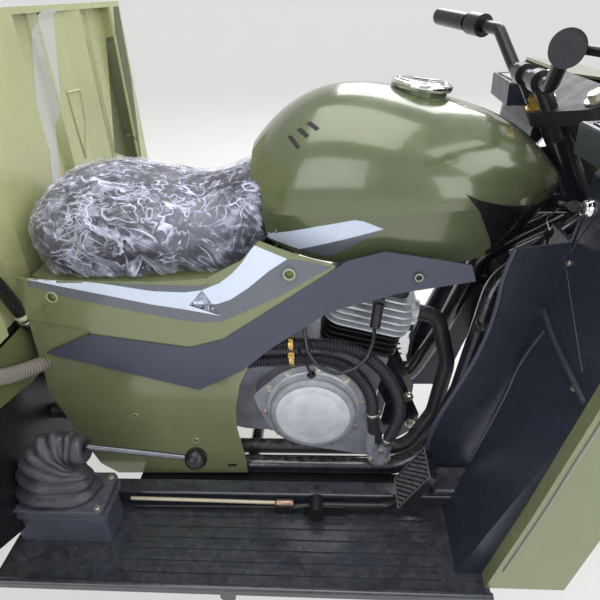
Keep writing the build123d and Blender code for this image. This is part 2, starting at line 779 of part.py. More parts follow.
# Coolant hoses from behind the frame cover to the pump on the engine's front corner
with BuildPart() as coolant_hoses:
    add(bent_tube(outer_hose, [100, 80, 80], hose_radius))
    add(bent_tube(inner_hose, [100, 60, 60], hose_radius))
coolant_hoses.part.label = "coolant_hoses"
export_step(coolant_hoses.part, "parts/coolant_hoses.step")

# Radiator: finned core between side tanks, with a ring-guarded fan behind it
radiator_z = 490
radiator_width = 230
radiator_height = 250
radiator_depth = 32
fan_radius = 92
with BuildPart() as radiator:
    low = (radiator_x - radiator_depth / 2, -radiator_width / 2, radiator_z - radiator_height / 2)
    high = (radiator_x + radiator_depth / 2, radiator_width / 2, radiator_z + radiator_height / 2)
    add(box_between(low, high))
    for side in (-1, 1):
        tank_half = radiator_tank_depth / 2
        low = (radiator_x - tank_half, side * (radiator_width / 2 + 12) - 12, radiator_z - radiator_height / 2 - 4)
        high = (radiator_x + tank_half, side * (radiator_width / 2 + 12) + 12, radiator_z + radiator_height / 2 + 4)
        add(box_between(low, high))
    fan_back_x = radiator_x - radiator_depth / 2 - 34
    for ring_radius in (fan_radius, fan_radius * 0.72, fan_radius * 0.45):
        with BuildSketch(Plane.YZ.offset(fan_back_x)):
            with Locations((0, radiator_z)):
                Circle(ring_radius)
                Circle(ring_radius - 4, mode=Mode.SUBTRACT)
        extrude(amount=4)
    with BuildSketch(Plane.YZ.offset(fan_back_x)):
        with Locations((0, radiator_z)):
            Circle(30)
    extrude(amount=radiator_x - fan_back_x)
    with BuildSketch(Plane.YZ.offset(fan_back_x)):
        with Locations((0, radiator_z)):
            for turn in range(4):
                Rectangle(2 * fan_radius - 2, 6, rotation=45 * turn)
    extrude(amount=4)
    with BuildSketch(Plane.YZ.offset(fan_back_x + 4)):
        with Locations((0, radiator_z)):
            Circle(fan_radius)
            Circle(fan_radius - 4, mode=Mode.SUBTRACT)
    extrude(amount=30)
radiator.part.label = "radiator"
export_step(radiator.part, "parts/radiator.step")


# Seat: a soft pad that narrows and rises towards the tank
seat_sections = [
    # x, half width, lowest z, widest z, highest z
    (152, 92, 716, 752, 796),
    (200, 150, 694, 750, 842),
    (310, 166, seat_base_z, 748, 852),
    (430, 156, seat_base_z, 746, 828),
    (520, 134, 700, 766, 840),
    (578, 112, 742, 812, 872),
    (602, 84, 790, 832, 866),
]


def body_section(x, half_width, low_z, wide_z, high_z):
    """Closed section with a flat base, upright flanks and a domed top."""
    base = half_width * 0.86
    shoulder = (half_width * 0.72, wide_z + (high_z - wide_z) * 0.72)
    with BuildSketch(Plane.YZ.offset(x)) as section:
        with BuildLine():
            Line((-base, low_z), (base, low_z))
            Line((base, low_z), (half_width, wide_z))
            ThreePointArc(
                (half_width, wide_z),
                (half_width * 0.93, wide_z + (high_z - wide_z) * 0.42),
                shoulder,
            )
            ThreePointArc(shoulder, (0, high_z), (-shoulder[0], shoulder[1]))
            ThreePointArc(
                (-shoulder[0], shoulder[1]),
                (-half_width * 0.93, wide_z + (high_z - wide_z) * 0.42),
                (-half_width, wide_z),
            )
            Line((-half_width, wide_z), (-base, low_z))
        make_face()
    return section.sketch


with BuildPart() as seat:
    for row in seat_sections:
        add(body_section(*row))
    loft()
seat.part.label = "seat"
export_step(seat.part, "parts/seat.step")

# Fuel tank with a tunnel over the backbone and a scooped rear for the seat's nose
tank_sections = [
    # x, half width, lowest z, widest z, highest z
    (562, 96, 752, 800, 892),
    (625, 132, 728, 800, 951),
    (720, 156, 712, 806, 983),
    (835, 166, 712, 812, 970),
    (945, 150, 716, 812, 938),
    (1030, 112, 766, 822, 892),
    (1082, 58, 800, 820, 838),
]
tunnel_half_width = 34
tunnel_top_z = backbone_z + backbone_radius + tunnel_room
seat_clearance = 2
cap_slope = 9
cap_plane = Plane(
    origin=(tank_cap_x, 0, 972.5), x_dir=(0, 1, 0), z_dir=(sin(radians(cap_slope)), 0, cos(radians(cap_slope)))
)
with BuildPart() as fuel_tank:
    for row in tank_sections:
        add(body_section(*row))
    loft()
    with BuildSketch(Plane.YZ.offset(540)):
        with Locations((0, (tunnel_top_z + 690) / 2)):
            Rectangle(2 * tunnel_half_width, tunnel_top_z - 690)
    extrude(amount=600, mode=Mode.SUBTRACT)
    with BuildPart(mode=Mode.PRIVATE) as seat_room:
        for x, half_width, low_z, wide_z, high_z in seat_sections[3:]:
            grown = (x + seat_clearance, half_width + 2, low_z - 4, wide_z, high_z + 3)
            add(body_section(*grown))
        loft()
    add(seat_room.part, mode=Mode.SUBTRACT)
    with BuildSketch(cap_plane.offset(-part_gap)):
        Circle(tank_cap_radius - 7)
    extrude(amount=-26)
    head_room = head_tube_radius + 9
    add(straight_bar((steer_x(690), 0, 690), (steer_x(930), 0, 930), head_room), mode=Mode.SUBTRACT)
fuel_tank.part.label = "fuel_tank"
export_step(fuel_tank.part, "parts/fuel_tank.step")

# Filler cap, set along the slope of the tank's top
with BuildPart() as fuel_cap:
    with BuildSketch(cap_plane):
        Circle(tank_cap_radius)
    extrude(amount=7)
    with BuildSketch(cap_plane.offset(7)):
        Circle(tank_cap_radius - 12)
    extrude(amount=3)
fuel_cap.part.label = "fuel_cap"
export_step(fuel_cap.part, "parts/fuel_cap.step")

# Side bodywork: each panel is cut from the same thin, slightly barrelled shell
side_cover_outline = [
    (146, 712),
    (230, 704),
    (300, 702),
    (388, 700),
    (484, 705),
    (547, 737),
    (579, 771),
    (612, 757),
    (650, 742),
    (704, 726),
    (702, 708),
    (508, 576),
    (436, 557),
    (262, 588),
    (254, 605),
    (144, 628),
]
frame_cover_outline = [
    (160, 556),
    (256, 598),
    (436, 568),
    (500, 585),
    (702, 720),
    (722, 734),
    (785, 750),
    (925, 724),
    (934, 694),
    (812, 674),
    (694, 640),
    (588, 566),
    (530, 516),
    (442, 470),
]
lower_panel_outline = [
    (137, 464),
    (141, 508),
    (144, 642),
    (262, 618),
    (268, 540),
    (440, 486),
    (530, 534),
    (548, 536),
    (520, 478),
    (506, 416),
    (503, 363),
    (511, 294),
    (512, 236),
    (226, 229),
    (193, 259),
    (164, 359),
]
shell_reach = 4000
shell_radius = shell_reach + panel_y


def side_panel(outline, proud, side):
    """Panel of an outline in side view, cut from the barrelled shell."""
    with BuildPart() as panel:
        with BuildSketch(Plane.XZ):
            with BuildLine():
                Polyline(*outline, close=True)
            make_face()
            offset(amount=-cover_seam / 2, kind=Kind.INTERSECTION)
        extrude(amount=panel_y + proud + 5)
        with BuildSketch(Plane.YZ.offset(100)):
            with Locations((shell_reach, 470)):
                Circle(shell_radius + proud)
                Circle(shell_radius + proud - panel_thickness, mode=Mode.SUBTRACT)
        extrude(amount=900, mode=Mode.INTERSECT)
    if side > 0:
        return mirror(panel.part, about=Plane.XZ)
    return panel.part


rail_reach = seat_rail_y + seat_rail_radius + part_gap
strut_reach = cradle_y + seat_rail_radius + part_gap
cradle_reach = cradle_y + cradle_tube_radius + part_gap
stay_reach = [row[2] + part_gap for row in cover_stays]
cover_rows = [
    # name, outline, how proud of the shell, screw bosses as x, z, inner end
    ("side_cover", side_cover_outline, side_cover_proud, ((192, 648, rail_reach), (626, 709, stay_reach[0]))),
    ("frame_cover", frame_cover_outline, frame_cover_proud, ((843, 701, stay_reach[1]),)),
    ("lower_panel", lower_panel_outline, 0, ((300, 399, strut_reach), (413, 333, cradle_reach))),
]
for cover_name, outline, proud, bosses in cover_rows:
    for side_name, side in (("right", -1), ("left", 1)):
        with BuildPart() as cover:
            add(side_panel(outline, proud, side))
            for boss_x, boss_z, boss_end in bosses:
                with BuildSketch(Plane.XZ.offset(-side * boss_end)):
                    with Locations((boss_x, boss_z)):
                        Circle(9)
                extrude(amount=-side * (panel_y + proud - 1.5 - boss_end))
        cover.part.label = f"{cover_name}_{side_name}"
        export_step(cover.part, f"parts/{cover_name}_{side_name}.step")


# Footboards: a boxed inner rail and a ribbed plate with a rolled outer lip, one each side
with BuildPart() as footboards:
    for side in (-1, 1):
        with BuildSketch(Plane.YZ.offset(footboard_rear_x)):
            with Locations((side * rail_y, footboard_under_z + rail_width / 2)):
                RectangleRounded(rail_width, rail_width, 4)
        extrude(amount=footboard_front_x - footboard_rear_x)
        low = (footboard_rear_x, min(side * rail_y, side * footboard_outer_y), footboard_under_z)
        high = (footboard_front_x, max(side * rail_y, side * footboard_outer_y), footboard_top_z)
        add(box_between(low, high))
        lip_y = side * (footboard_outer_y - 6)
        with BuildSketch(Plane.YZ.offset(footboard_rear_x)):
            with Locations((lip_y, footboard_top_z + 4)):
                RectangleRounded(12, 16, 5)
        extrude(amount=footboard_front_x - footboard_rear_x)
        for place in range(6):
            rib_y = side * (rail_y + 44 + 24 * place)
            low = (footboard_rear_x + 220, rib_y - 5, footboard_top_z)
            high = (footboard_front_x - 80, rib_y + 5, footboard_top_z + 3)
            add(box_between(low, high))
footboards.part.label = "footboards"
export_step(footboards.part, "parts/footboards.step")

# Brake pedal with its pad, arm, pull rod and clevis along the right-hand rail
pedal_y = -rail_y - rail_width / 2 - 14
pedal_pivot = (660, footboard_top_z + 20)
pad_centre = (852, 316)
pad_tilt = 58
with BuildPart() as brake_pedal:
    arm_points = [
        (pedal_pivot[0], pedal_y, pedal_pivot[1]),
        (800, pedal_y, footboard_top_z + 22),
        (pad_centre[0] + 8, pedal_y, pad_centre[1] - 6),
    ]
    add(bent_tube(arm_points, [40], 8))
    pad_plane = Plane(
        origin=(pad_centre[0], pedal_y, pad_centre[1]),
        x_dir=(0, 1, 0),
        z_dir=(-sin(radians(pad_tilt)), 0, cos(radians(pad_tilt))),
    )
    with BuildSketch(pad_plane):
        RectangleRounded(76, 104, 14)
    extrude(amount=14)
    pedal_boss_y = rail_y + rail_width / 2 + part_gap
    with BuildSketch(Plane.XZ.offset(pedal_boss_y)):
        with Locations(pedal_pivot):
            Circle(16)
    extrude(amount=38)
    add(straight_bar((pedal_pivot[0], pedal_y, pedal_pivot[1]), (596, pedal_y, footboard_top_z + 12), 7))
    add(straight_bar((606, pedal_y, footboard_top_z + 13), (footboard_rear_x + 210, pedal_y, footboard_top_z + 9), 4))
    add(box_between((580, pedal_y - 9, footboard_top_z + 3), (612, pedal_y + 9, footboard_top_z + 22)))
brake_pedal.part.label = "brake_pedal"
export_step(brake_pedal.part, "parts/brake_pedal.step")

# Gear change pedal on the engine's left side
with BuildPart() as shift_pedal:
    shaft_x = engine_x - 104
    shaft_z = engine_z - 56
    shift_points = [
        (shaft_x, case_half_width + 30, shaft_z),
        (shaft_x + 40, case_half_width + 70, shaft_z - 36),
        (engine_x + 120, case_half_width + 78, engine_z - 96),
    ]
    add(bent_tube(shift_points, [24], 7))
    toe = (engine_x + 120, case_half_width + 70, engine_z - 96)
    add(straight_bar(toe, (toe[0], toe[1] + 62, toe[2]), 11))
    add(straight_bar((shaft_x, case_half_width + part_gap, shaft_z), (shaft_x, case_half_width + 42, shaft_z), 12))
shift_pedal.part.label = "shift_pedal"
export_step(shift_pedal.part, "parts/shift_pedal.step")

# Range lever: flanged box on the footboard, pleated gaiter, thin steel lever with a knob
box_x = 178
box_y = -292
box_length = 200
box_width = 92
box_top_z = 300
with BuildPart() as lever_box:
    with BuildSketch(Plane.XY.offset(footboard_top_z)):
        with Locations((box_x, box_y)):
            RectangleRounded(box_length - 16, box_width - 16, 10)
    extrude(amount=box_top_z - footboard_top_z)
    with BuildSketch(Plane.XY.offset(box_top_z - 8)):
        with Locations((box_x, box_y)):
            RectangleRounded(box_length, box_width, 14)
    extrude(amount=8)
lever_box.part.label = "lever_box"
export_step(lever_box.part, "parts/lever_box.step")

collar = (252, box_y, 428)
gaiter_pleats = 6
pleat_depth = 0.16
with BuildPart() as lever_gaiter:
    for place in range(2 * gaiter_pleats + 1):
        share = place / (2 * gaiter_pleats)
        waist = 1 - pleat_depth * (place % 2)
        pleat_x = box_x - 10 + (collar[0] - box_x + 10) * share
        pleat_z = box_top_z + (collar[2] - 8 - box_top_z) * share
        with BuildSketch(Plane.XY.offset(pleat_z)):
            with Locations((pleat_x, box_y)):
                Ellipse((78 - 58 * share) * waist, (40 - 22 * share) * waist)
    loft(ruled=True)
lever_gaiter.part.label = "lever_gaiter"
export_step(lever_gaiter.part, "parts/lever_gaiter.step")

with BuildPart() as range_lever:
    rod_points = [(collar[0], box_y, collar[2] - 7.7), (collar[0], box_y, collar[2] + 6), (443, box_y, 408)]
    add(bent_tube(rod_points, [8], 5.5))
    with Locations((452, box_y, 407)):
        Sphere(19)
range_lever.part.label = "range_lever"
export_step(range_lever.part, "parts/range_lever.step")


# Front fairing: a thin shell, rounded in plan, with wings that run down to the footboards
fairing_half = 400
fairing_sheet = 4
crown_rear = (1140, 965)
crown_front = (1232, 955)
brow = (1372, 780)
fairing_side = [
    # x, z around the side view, from the foot of the rear edge upward
    (952, footboard_top_z + part_gap),
    (1000, 400),
    (1055, 630),
    (1086, 780),
    (1102, 900),
    crown_rear,
    crown_front,
    brow,
    (1400, 652),
    (1180, 640),
    (1122, 400),
    (1082, footboard_top_z + part_gap),
]
lamp_rows = [
    # rear face x, y, z, half width, half height, length
    (1330, 0, 790, 92, 70, 62),
    (1215, -262, 796, 46, 30, 90),
    (1215, 262, 796, 46, 30, 90),
]
nose_x = 1400
nose_start_x = 1150
rim_flange = 26
with BuildPart() as front_fairing:
    with BuildSketch(Plane.XZ):
        with BuildLine():
            Polyline(*fairing_side, close=True)
        make_face()
    extrude(amount=fairing_half, both=True)
    with BuildSketch():
        with BuildLine():
            ThreePointArc((nose_start_x, -fairing_half), (nose_x, 0), (nose_start_x, fairing_half))
            Polyline(
                (nose_start_x, fairing_half),
                (900, fairing_half),
                (900, -fairing_half),
                (nose_start_x, -fairing_half),
            )
        make_face()
    extrude(amount=1200, mode=Mode.INTERSECT)
    with BuildPart(mode=Mode.PRIVATE) as fairing_room:
        inner = fairing_half - fairing_sheet
        with BuildSketch():
            with BuildLine():
                ThreePointArc((nose_start_x, -inner), (nose_x - fairing_sheet, 0), (nose_start_x, inner))
                Polyline((nose_start_x, inner), (800, inner), (800, -inner), (nose_start_x, -inner))
            make_face()
        extrude(amount=1200)
        with BuildSketch(Plane.XZ):
            with BuildLine():
                Polyline(
                    (800, 100),
                    (nose_x + 20, 100),
                    (nose_x + 20, 620),
                    (nose_x - 4, 640),
                    (brow[0] - 5, brow[1] - 1),
                    (crown_front[0] - 2, crown_front[1] - 5),
                    (crown_rear[0] + 2, crown_rear[1] - 5),
                    (800, crown_rear[1] - 5),
                    close=True,
                )
            make_face()
        extrude(amount=fairing_half, both=True, mode=Mode.INTERSECT)
    add(fairing_room.part, mode=Mode.SUBTRACT)
    for lamp_x, lamp_y, lamp_place_z, lamp_wide, lamp_tall, lamp_reach in lamp_rows:
        with BuildSketch(Plane.YZ.offset(lamp_x - 60)):
            with Locations((lamp_y, lamp_place_z)):
                Ellipse(lamp_wide + part_gap, lamp_tall + part_gap)
        extrude(amount=lamp_reach + 120, mode=Mode.SUBTRACT)
    for side in (-1, 1):
        with BuildSketch(Plane.XZ.offset(-side * (fairing_half - rim_flange))):
            with BuildLine():
                rear = fairing_side[:5]
                Polyline(*(rear + [(x + 8, z) for x, z in reversed(rear)]), close=True)
            make_face()
        extrude(amount=-side * rim_flange)
    sweep_low = (steer_x(upper_clamp_z - 60), 0, upper_clamp_z - 60)
    sweep_high = (steer_x(upper_clamp_z + 90), 0, upper_clamp_z + 90)
    add(straight_bar(sweep_low, sweep_high, clamp_sweep + steering_room), mode=Mode.SUBTRACT)
front_fairing.part.label = "front_fairing"
export_step(front_fairing.part, "parts/front_fairing.step")

# Console: the black inner leg shield, a sloping moulding with a tunnel for frame and radiator
console_half = fairing_half - rim_flange - part_gap
console_low_z = footboard_top_z + part_gap
dash_low_z = 902
console_rear = [
    (908, console_low_z),
    (1040, 560),
    (1070, 690),
    (1086, 800),
    (1092, 862),
    (1114, dash_low_z - part_gap),
]
console_front = [
    (1122, dash_low_z - part_gap),
    (1099, 858),
    (1093, 800),
    (1077, 690),
    (1030, 480),
    (975, console_low_z),
]
tunnel_low_half = 240
tunnel_high_half = 160
tunnel_high_z = 640
head_slot_half = 68
steer_slot_half = 150
steer_slot_z = 750
with BuildPart() as front_console:
    with BuildSketch(Plane.XZ):
        with BuildLine():
            Polyline(*(console_rear + console_front), close=True)
        make_face()
    extrude(amount=console_half, both=True)
    with BuildSketch(Plane.YZ.offset(800)):
        with BuildLine():
            tunnel = [
                (-tunnel_low_half, 257),
                (-tunnel_low_half, 200),
                (tunnel_low_half, 200),
                (tunnel_low_half, 257),
                (tunnel_high_half, 560),
                (tunnel_high_half - 8, tunnel_high_z),
                (8 - tunnel_high_half, tunnel_high_z),
                (-tunnel_high_half, 560),
            ]
            Polyline(*tunnel, close=True)
        make_face()
    extrude(amount=400, mode=Mode.SUBTRACT)
    with BuildSketch(Plane.YZ.offset(800)):
        with Locations((0, 800)):
            Rectangle(2 * head_slot_half, 400)
        with Locations((0, steer_slot_z + 100)):
            Rectangle(2 * steer_slot_half, 200)
    extrude(amount=400, mode=Mode.SUBTRACT)
front_console.part.label = "front_console"
export_step(front_console.part, "parts/front_console.step")

# Dashboard: a cowl with two pods, open at the rear for the steering stem
dash_high_z = 946
with BuildPart() as dashboard:
    with BuildSketch(Plane.XY.offset(dash_low_z)):
        with BuildLine():
            cowl = [
                (1228, -200),
                (1120, -330),
                (1050, -330),
                (1044, -178),
                (1150, -172),
                (1216, -120),
                (1216, 120),
                (1150, 172),
                (1044, 178),
                (1050, 330),
                (1120, 330),
                (1228, 200),
            ]
            Polyline(*cowl, close=True)
        make_face()
    extrude(amount=dash_high_z - dash_low_z)
    fillet(dashboard.faces().sort_by(Axis.Z)[-1].edges(), radius=5)
dashboard.part.label = "dashboard"
export_step(dashboard.part, "parts/dashboard.step")

# Headlamp and two turn lamps let into the nose
with BuildPart() as front_lamps:
    for lamp_x, lamp_y, lamp_place_z, lamp_wide, lamp_tall, lamp_reach in lamp_rows:
        with BuildSketch(Plane.YZ.offset(lamp_x)):
            with Locations((lamp_y, lamp_place_z)):
                Ellipse(lamp_wide, lamp_tall)
        extrude(amount=lamp_reach)
front_lamps.part.label = "front_lamps"
export_step(front_lamps.part, "parts/front_lamps.step")

# Handlebar: a raised bar in two risers, grips and brake levers
bar_radius = 11
grip_radius = 17
riser_height = 48
riser_foot = steer_plane(upper_clamp_z).offset(clamp_thickness / 2 + part_gap).origin
bar_centre = steer_plane(upper_clamp_z).offset(clamp_thickness / 2 + riser_height).origin
bar_bend = [
    (bar_centre.X, 92, bar_centre.Z),
    (bar_centre.X - 16, 176, bar_centre.Z + 62),
    (bar_centre.X - 90, 372, bar_centre.Z + 78),
]
with BuildPart() as handlebar:
    bar_points = [(x, -y, z) for x, y, z in reversed(bar_bend)] + bar_bend
    add(bent_tube(bar_points, [30, 30, 30, 30], bar_radius))
    for side in (-1, 1):
        riser_y = side * 42
        add(straight_bar((riser_foot.X, riser_y, riser_foot.Z), (bar_centre.X, riser_y, bar_centre.Z), 13))
        with BuildSketch(Plane.XZ.offset(-riser_y)):
            with Locations((bar_centre.X, bar_centre.Z)):
                Circle(18)
        extrude(amount=13, both=True)
        bend = Vector(bar_bend[1][0], side * bar_bend[1][1], bar_bend[1][2])
        along = Vector(bar_bend[2][0], side * bar_bend[2][1], bar_bend[2][2]) - bend
        add(straight_bar(bend + along * 0.5, bend + along * 1.04, grip_radius))
        add(straight_bar(bend + along * 0.24, bend + along * 0.44, 21))
        lever_points = [bend + along * 0.3, bend + along * 0.52 + Vector(48, 0, -8), bend + along + Vector(52, 0, -12)]
        add(bent_tube(lever_points, [14], 5.5))
handlebar.part.label = "handlebar"
export_step(handlebar.part, "parts/handlebar.step")

# Front mudguard with stays down to the fork sliders
guard_radius = tyre_radius + 19
guard_sheet = 2.5
with BuildPart() as front_mudguard:
    guard_profile = [
        (guard_radius - 40, -guard_half),
        (guard_radius - 12, -guard_half),
        (guard_radius, -guard_half + 26),
        (guard_radius, guard_half - 26),
        (guard_radius - 12, guard_half),
        (guard_radius - 40, guard_half),
    ]
    inner_profile = [
        (guard_radius - 40, guard_half - guard_sheet),
        (guard_radius - 13, guard_half - guard_sheet),
        (guard_radius - guard_sheet, guard_half - 27),
        (guard_radius - guard_sheet, 27 - guard_half),
        (guard_radius - 13, guard_sheet - guard_half),
        (guard_radius - 40, guard_sheet - guard_half),
    ]
    guard_plane = Plane(
        origin=(front_axle_x, 0, tyre_radius),
        x_dir=(cos(radians(18)), 0, sin(radians(18))),
        z_dir=(-sin(radians(18)), 0, cos(radians(18))),
    )
    with BuildSketch(guard_plane):
        with BuildLine():
            Polyline(*(guard_profile + inner_profile), close=True)
        make_face()
    revolve(axis=Axis((front_axle_x, 0, tyre_radius), (0, -1, 0)), revolution_arc=150)
front_mudguard.part.label = "front_mudguard"
export_step(front_mudguard.part, "parts/front_mudguard.step")

# Tail lamps on the rear of the bed floor
tail_lamp_width = 120
tail_lamp_inset = 30
tail_lamp_y = half_bed - tail_lamp_inset - tail_lamp_width / 2
with BuildPart() as tail_lamps:
    for side in (-1, 1):
        low = (bed_rear_x - 26, side * tail_lamp_y - tail_lamp_width / 2, chassis_top_z - 66)
        high = (bed_rear_x + 34, side * tail_lamp_y + tail_lamp_width / 2, chassis_top_z)
        add(box_between(low, high))
tail_lamps.part.label = "tail_lamps"
export_step(tail_lamps.part, "parts/tail_lamps.step")
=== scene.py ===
"""Looks of the cargo motor trike: finishes, dressed pieces, floor, lights and camera."""
import logging
import math
from collections.abc import Sequence
from dataclasses import dataclass
from enum import Enum
from functools import cache

import bmesh
import bpy
import numpy as np
from mathutils import Matrix, Vector, noise
from mathutils.bvhtree import BVHTree


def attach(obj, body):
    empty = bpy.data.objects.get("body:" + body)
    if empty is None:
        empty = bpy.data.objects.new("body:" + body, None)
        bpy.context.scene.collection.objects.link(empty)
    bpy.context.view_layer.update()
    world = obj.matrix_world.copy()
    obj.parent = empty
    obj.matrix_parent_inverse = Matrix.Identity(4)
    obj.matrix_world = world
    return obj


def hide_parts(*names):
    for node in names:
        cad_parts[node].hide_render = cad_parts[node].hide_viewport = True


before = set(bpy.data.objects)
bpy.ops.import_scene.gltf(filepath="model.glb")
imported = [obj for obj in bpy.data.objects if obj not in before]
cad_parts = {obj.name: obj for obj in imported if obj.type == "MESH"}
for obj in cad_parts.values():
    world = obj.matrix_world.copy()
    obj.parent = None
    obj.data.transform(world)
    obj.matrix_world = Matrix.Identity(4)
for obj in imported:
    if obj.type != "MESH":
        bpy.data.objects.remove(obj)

LOG = logging.getLogger("trike")
MM = 0.001
RAKE = math.radians(28.0)
EDGE_ANGLE = math.radians(35.0)
OUTSIDE = 0.6
MIDDLE = 0.17
DUST_COLOUR = (0.42, 0.4, 0.35)
BLACK = (0.0, 0.0, 0.0)

Point = tuple[float, float, float]
Corner = tuple[float, float]
Route = Sequence[Point]
Outline = Sequence[Corner]
Faces = list[tuple[int, ...]]
Shape = tuple[list[Vector], Faces]
Socket = bpy.types.NodeSocket


class Side(Enum):
    """The rider's right-hand or left-hand side of the trike."""

    RIGHT = -1
    LEFT = 1

    @property
    def tag(self) -> str:
        """The side's name in the names of pieces and nodes."""
        return self.name.lower()


class Body(Enum):
    """Rigid bodies that pieces ride on."""

    FRAME = "frame"
    STEERING = "steering"
    FRONT_WHEEL = "front_wheel"
    RIGHT_WHEEL = "right_wheel"
    LEFT_WHEEL = "left_wheel"


class Nodes:
    """A node tree filled by short calls."""

    def __init__(self, tree: bpy.types.NodeTree) -> None:
        """Keep the tree that is filled."""
        self.tree = tree

    def feed(self, value: object, target: Socket) -> None:
        """Wire a socket to an input, or set the input's value.

        Args:
            value: The socket or value.
            target: The input.
        """
        if isinstance(value, Socket):
            self.tree.links.new(value, target)
        else:
            target.default_value = value

    def add(self, kind: str, inputs: dict[str | int, object] | None = None, **settings: object) -> bpy.types.Node:
        """Add a node and wire or set its inputs.

        Args:
            kind: The node's type name.
            inputs: Sockets or values by input name or number.
            settings: Properties of the node itself.

        Returns:
            The new node.
        """
        node = self.tree.nodes.new(kind)
        for key, value in settings.items():
            setattr(node, key, value)
        for key, value in (inputs or {}).items():
            self.feed(value, node.inputs[key])
        return node

    def math(self, kind: str, first: object, second: object) -> Socket:
        """Combine two values, each a socket or a number, by a named operation."""
        return self.add("ShaderNodeMath", {0: first, 1: second}, operation=kind).outputs[0]


class Board(Nodes):
    """One material's nodes: its shader, object coordinates and layers of relief."""

    def __init__(self, name: str) -> None:
        """Start a material with a shader and object coordinates.

        Args:
            name: The material's name.
        """
        self.material = bpy.data.materials.new(name)
        self.material.use_nodes = True
        super().__init__(self.material.node_tree)
        self.tree.nodes.clear()
        self.shader = self.add("ShaderNodeBsdfPrincipled")
        self.add("ShaderNodeOutputMaterial", {"Surface": self.shader.outputs[0]})
        self.coords = self.add("ShaderNodeTexCoord").outputs["Object"]
        self.normal: Socket | None = None

    def set(self, **values: object) -> None:
        """Wire or set the shader's own inputs, spaces in their names written as underscores."""
        for key, value in values.items():
            self.feed(value, self.shader.inputs[key.replace("_", " ")])

    def noise(self, scale: float, detail: float = 3.0, roughness: float = 0.55, coords: Socket | None = None) -> Socket:
        """Add a noise pattern.

        Args:
            scale: Cells per metre.
            detail: Octaves.
            roughness: Strength of the finer octaves.
            coords: Coordinates to read instead of the object's own.

        Returns:
            The pattern's value socket.
        """
        return self.add("ShaderNodeTexNoise", {"Scale": scale, "Detail": detail, "Roughness": roughness,
                                               "Vector": coords or self.coords}).outputs["Fac"]

    def ramp(self, source: Socket, stops: list[tuple[float, Point]]) -> Socket:
        """Turn a value into a colour.

        Args:
            source: The value socket.
            stops: Positions with their colours.

        Returns:
            The colour socket.
        """
        node = self.add("ShaderNodeValToRGB", {"Fac": source})
        elements = node.color_ramp.elements
        while len(elements) < len(stops):
            elements.new(0.5)
        for element, (place, colour) in zip(elements, stops):
            element.position = place
            element.color = (*colour, 1.0)
        return node.outputs["Color"]

    def span(self, source: Socket, low: float, high: float, start: float = 0.0, end: float = 1.0) -> Socket:
        """Spread a value from one range over another.

        Args:
            source: The value socket.
            low: Source value that gives start.
            high: Source value that gives end.
            start: Result at low.
            end: Result at high.

        Returns:
            The result socket.
        """
        return self.add("ShaderNodeMapRange", {"Value": source, "From Min": low, "From Max": high, "To Min": start,
                                               "To Max": end}).outputs["Result"]

    def blend(self, amount: Socket, first: Socket, second: Point) -> Socket:
        """Mix a share of a second colour into a first one."""
        return self.add("ShaderNodeMix", {"Factor": amount, 6: first, 7: (*second, 1.0)}, data_type="RGBA").outputs[2]

    def bump(self, height: Socket, strength: float, distance: float) -> None:
        """Add a layer of relief over the earlier ones.

        Args:
            height: The height pattern.
            strength: Strength of the relief.
            distance: Depth in metres at full height.
        """
        inputs = {"Strength": strength, "Distance": distance, "Height": height}
        if self.normal is not None:
            inputs["Normal"] = self.normal
        self.normal = self.add("ShaderNodeBump", inputs).outputs["Normal"]

    def done(self) -> bpy.types.Material:
        """Wire the relief to the shader.

        Returns:
            The material.
        """
        if self.normal is not None:
            self.set(Normal=self.normal)
        return self.material


@dataclass(frozen=True)
class Finish:
    """A rigid surface: colour with variation, gloss, grain and settled dust.

    Scales are cells per metre and depths are metres.
    """

    name: str
    colour: Point
    rough: float = 0.4
    metal: float = 0.0
    coat: float = 0.0
    vary: float = 0.12
    patch: float = 9.0
    grain: float = 900.0
    depth: float = 4e-05
    wave: float = 30.0
    wave_depth: float = 0.0
    dust: float = 0.0
    flake: float = 0.0
    spread: float = 0.08

    def build(self) -> bpy.types.Material:
        """Make the material with its patches, flakes, dust, smears, waves and grain.

        Returns:
            The material.
        """
        board = Board(self.name)
        low = tuple(c * (1 - self.vary) for c in self.colour)
        high = tuple(min(1.0, c * (1 + self.vary)) for c in self.colour)
        colour = board.ramp(board.noise(self.patch, 4.0), [(0.3, low), (0.7, high)])
        if self.flake:
            share = board.span(board.noise(5200.0, 1.0), 0.52, 0.75, 0.0, self.flake)
            colour = board.blend(share, colour, tuple(min(1.0, c * 2.6 + 0.04) for c in self.colour))
        if self.dust:
            facing = board.add("ShaderNodeNewGeometry").outputs["Normal"]
            upward = board.span(board.add("ShaderNodeSeparateXYZ", {0: facing}).outputs["Z"], 0.35, 1.0)
            specks = board.span(board.noise(70.0, 6.0, 0.7), 0.42, 0.7, 0.0, self.dust)
            colour = board.blend(board.math("MULTIPLY", upward, specks), colour, DUST_COLOUR)
        smear = board.noise(self.patch * 4, 5.0, 0.6)
        rough = board.span(smear, 0.3, 0.7, max(0.02, self.rough - self.spread), min(1.0, self.rough + self.spread))
        board.set(Base_Color=colour, Roughness=rough, Metallic=self.metal)
        if self.coat:
            board.set(Coat_Weight=self.coat, Coat_Roughness=0.08)
        if self.wave_depth:
            board.bump(board.noise(self.wave, 2.0), 1.0, self.wave_depth)
        if self.depth:
            board.bump(board.noise(self.grain, 3.0, 0.6), 1.0, self.depth)
        return board.done()


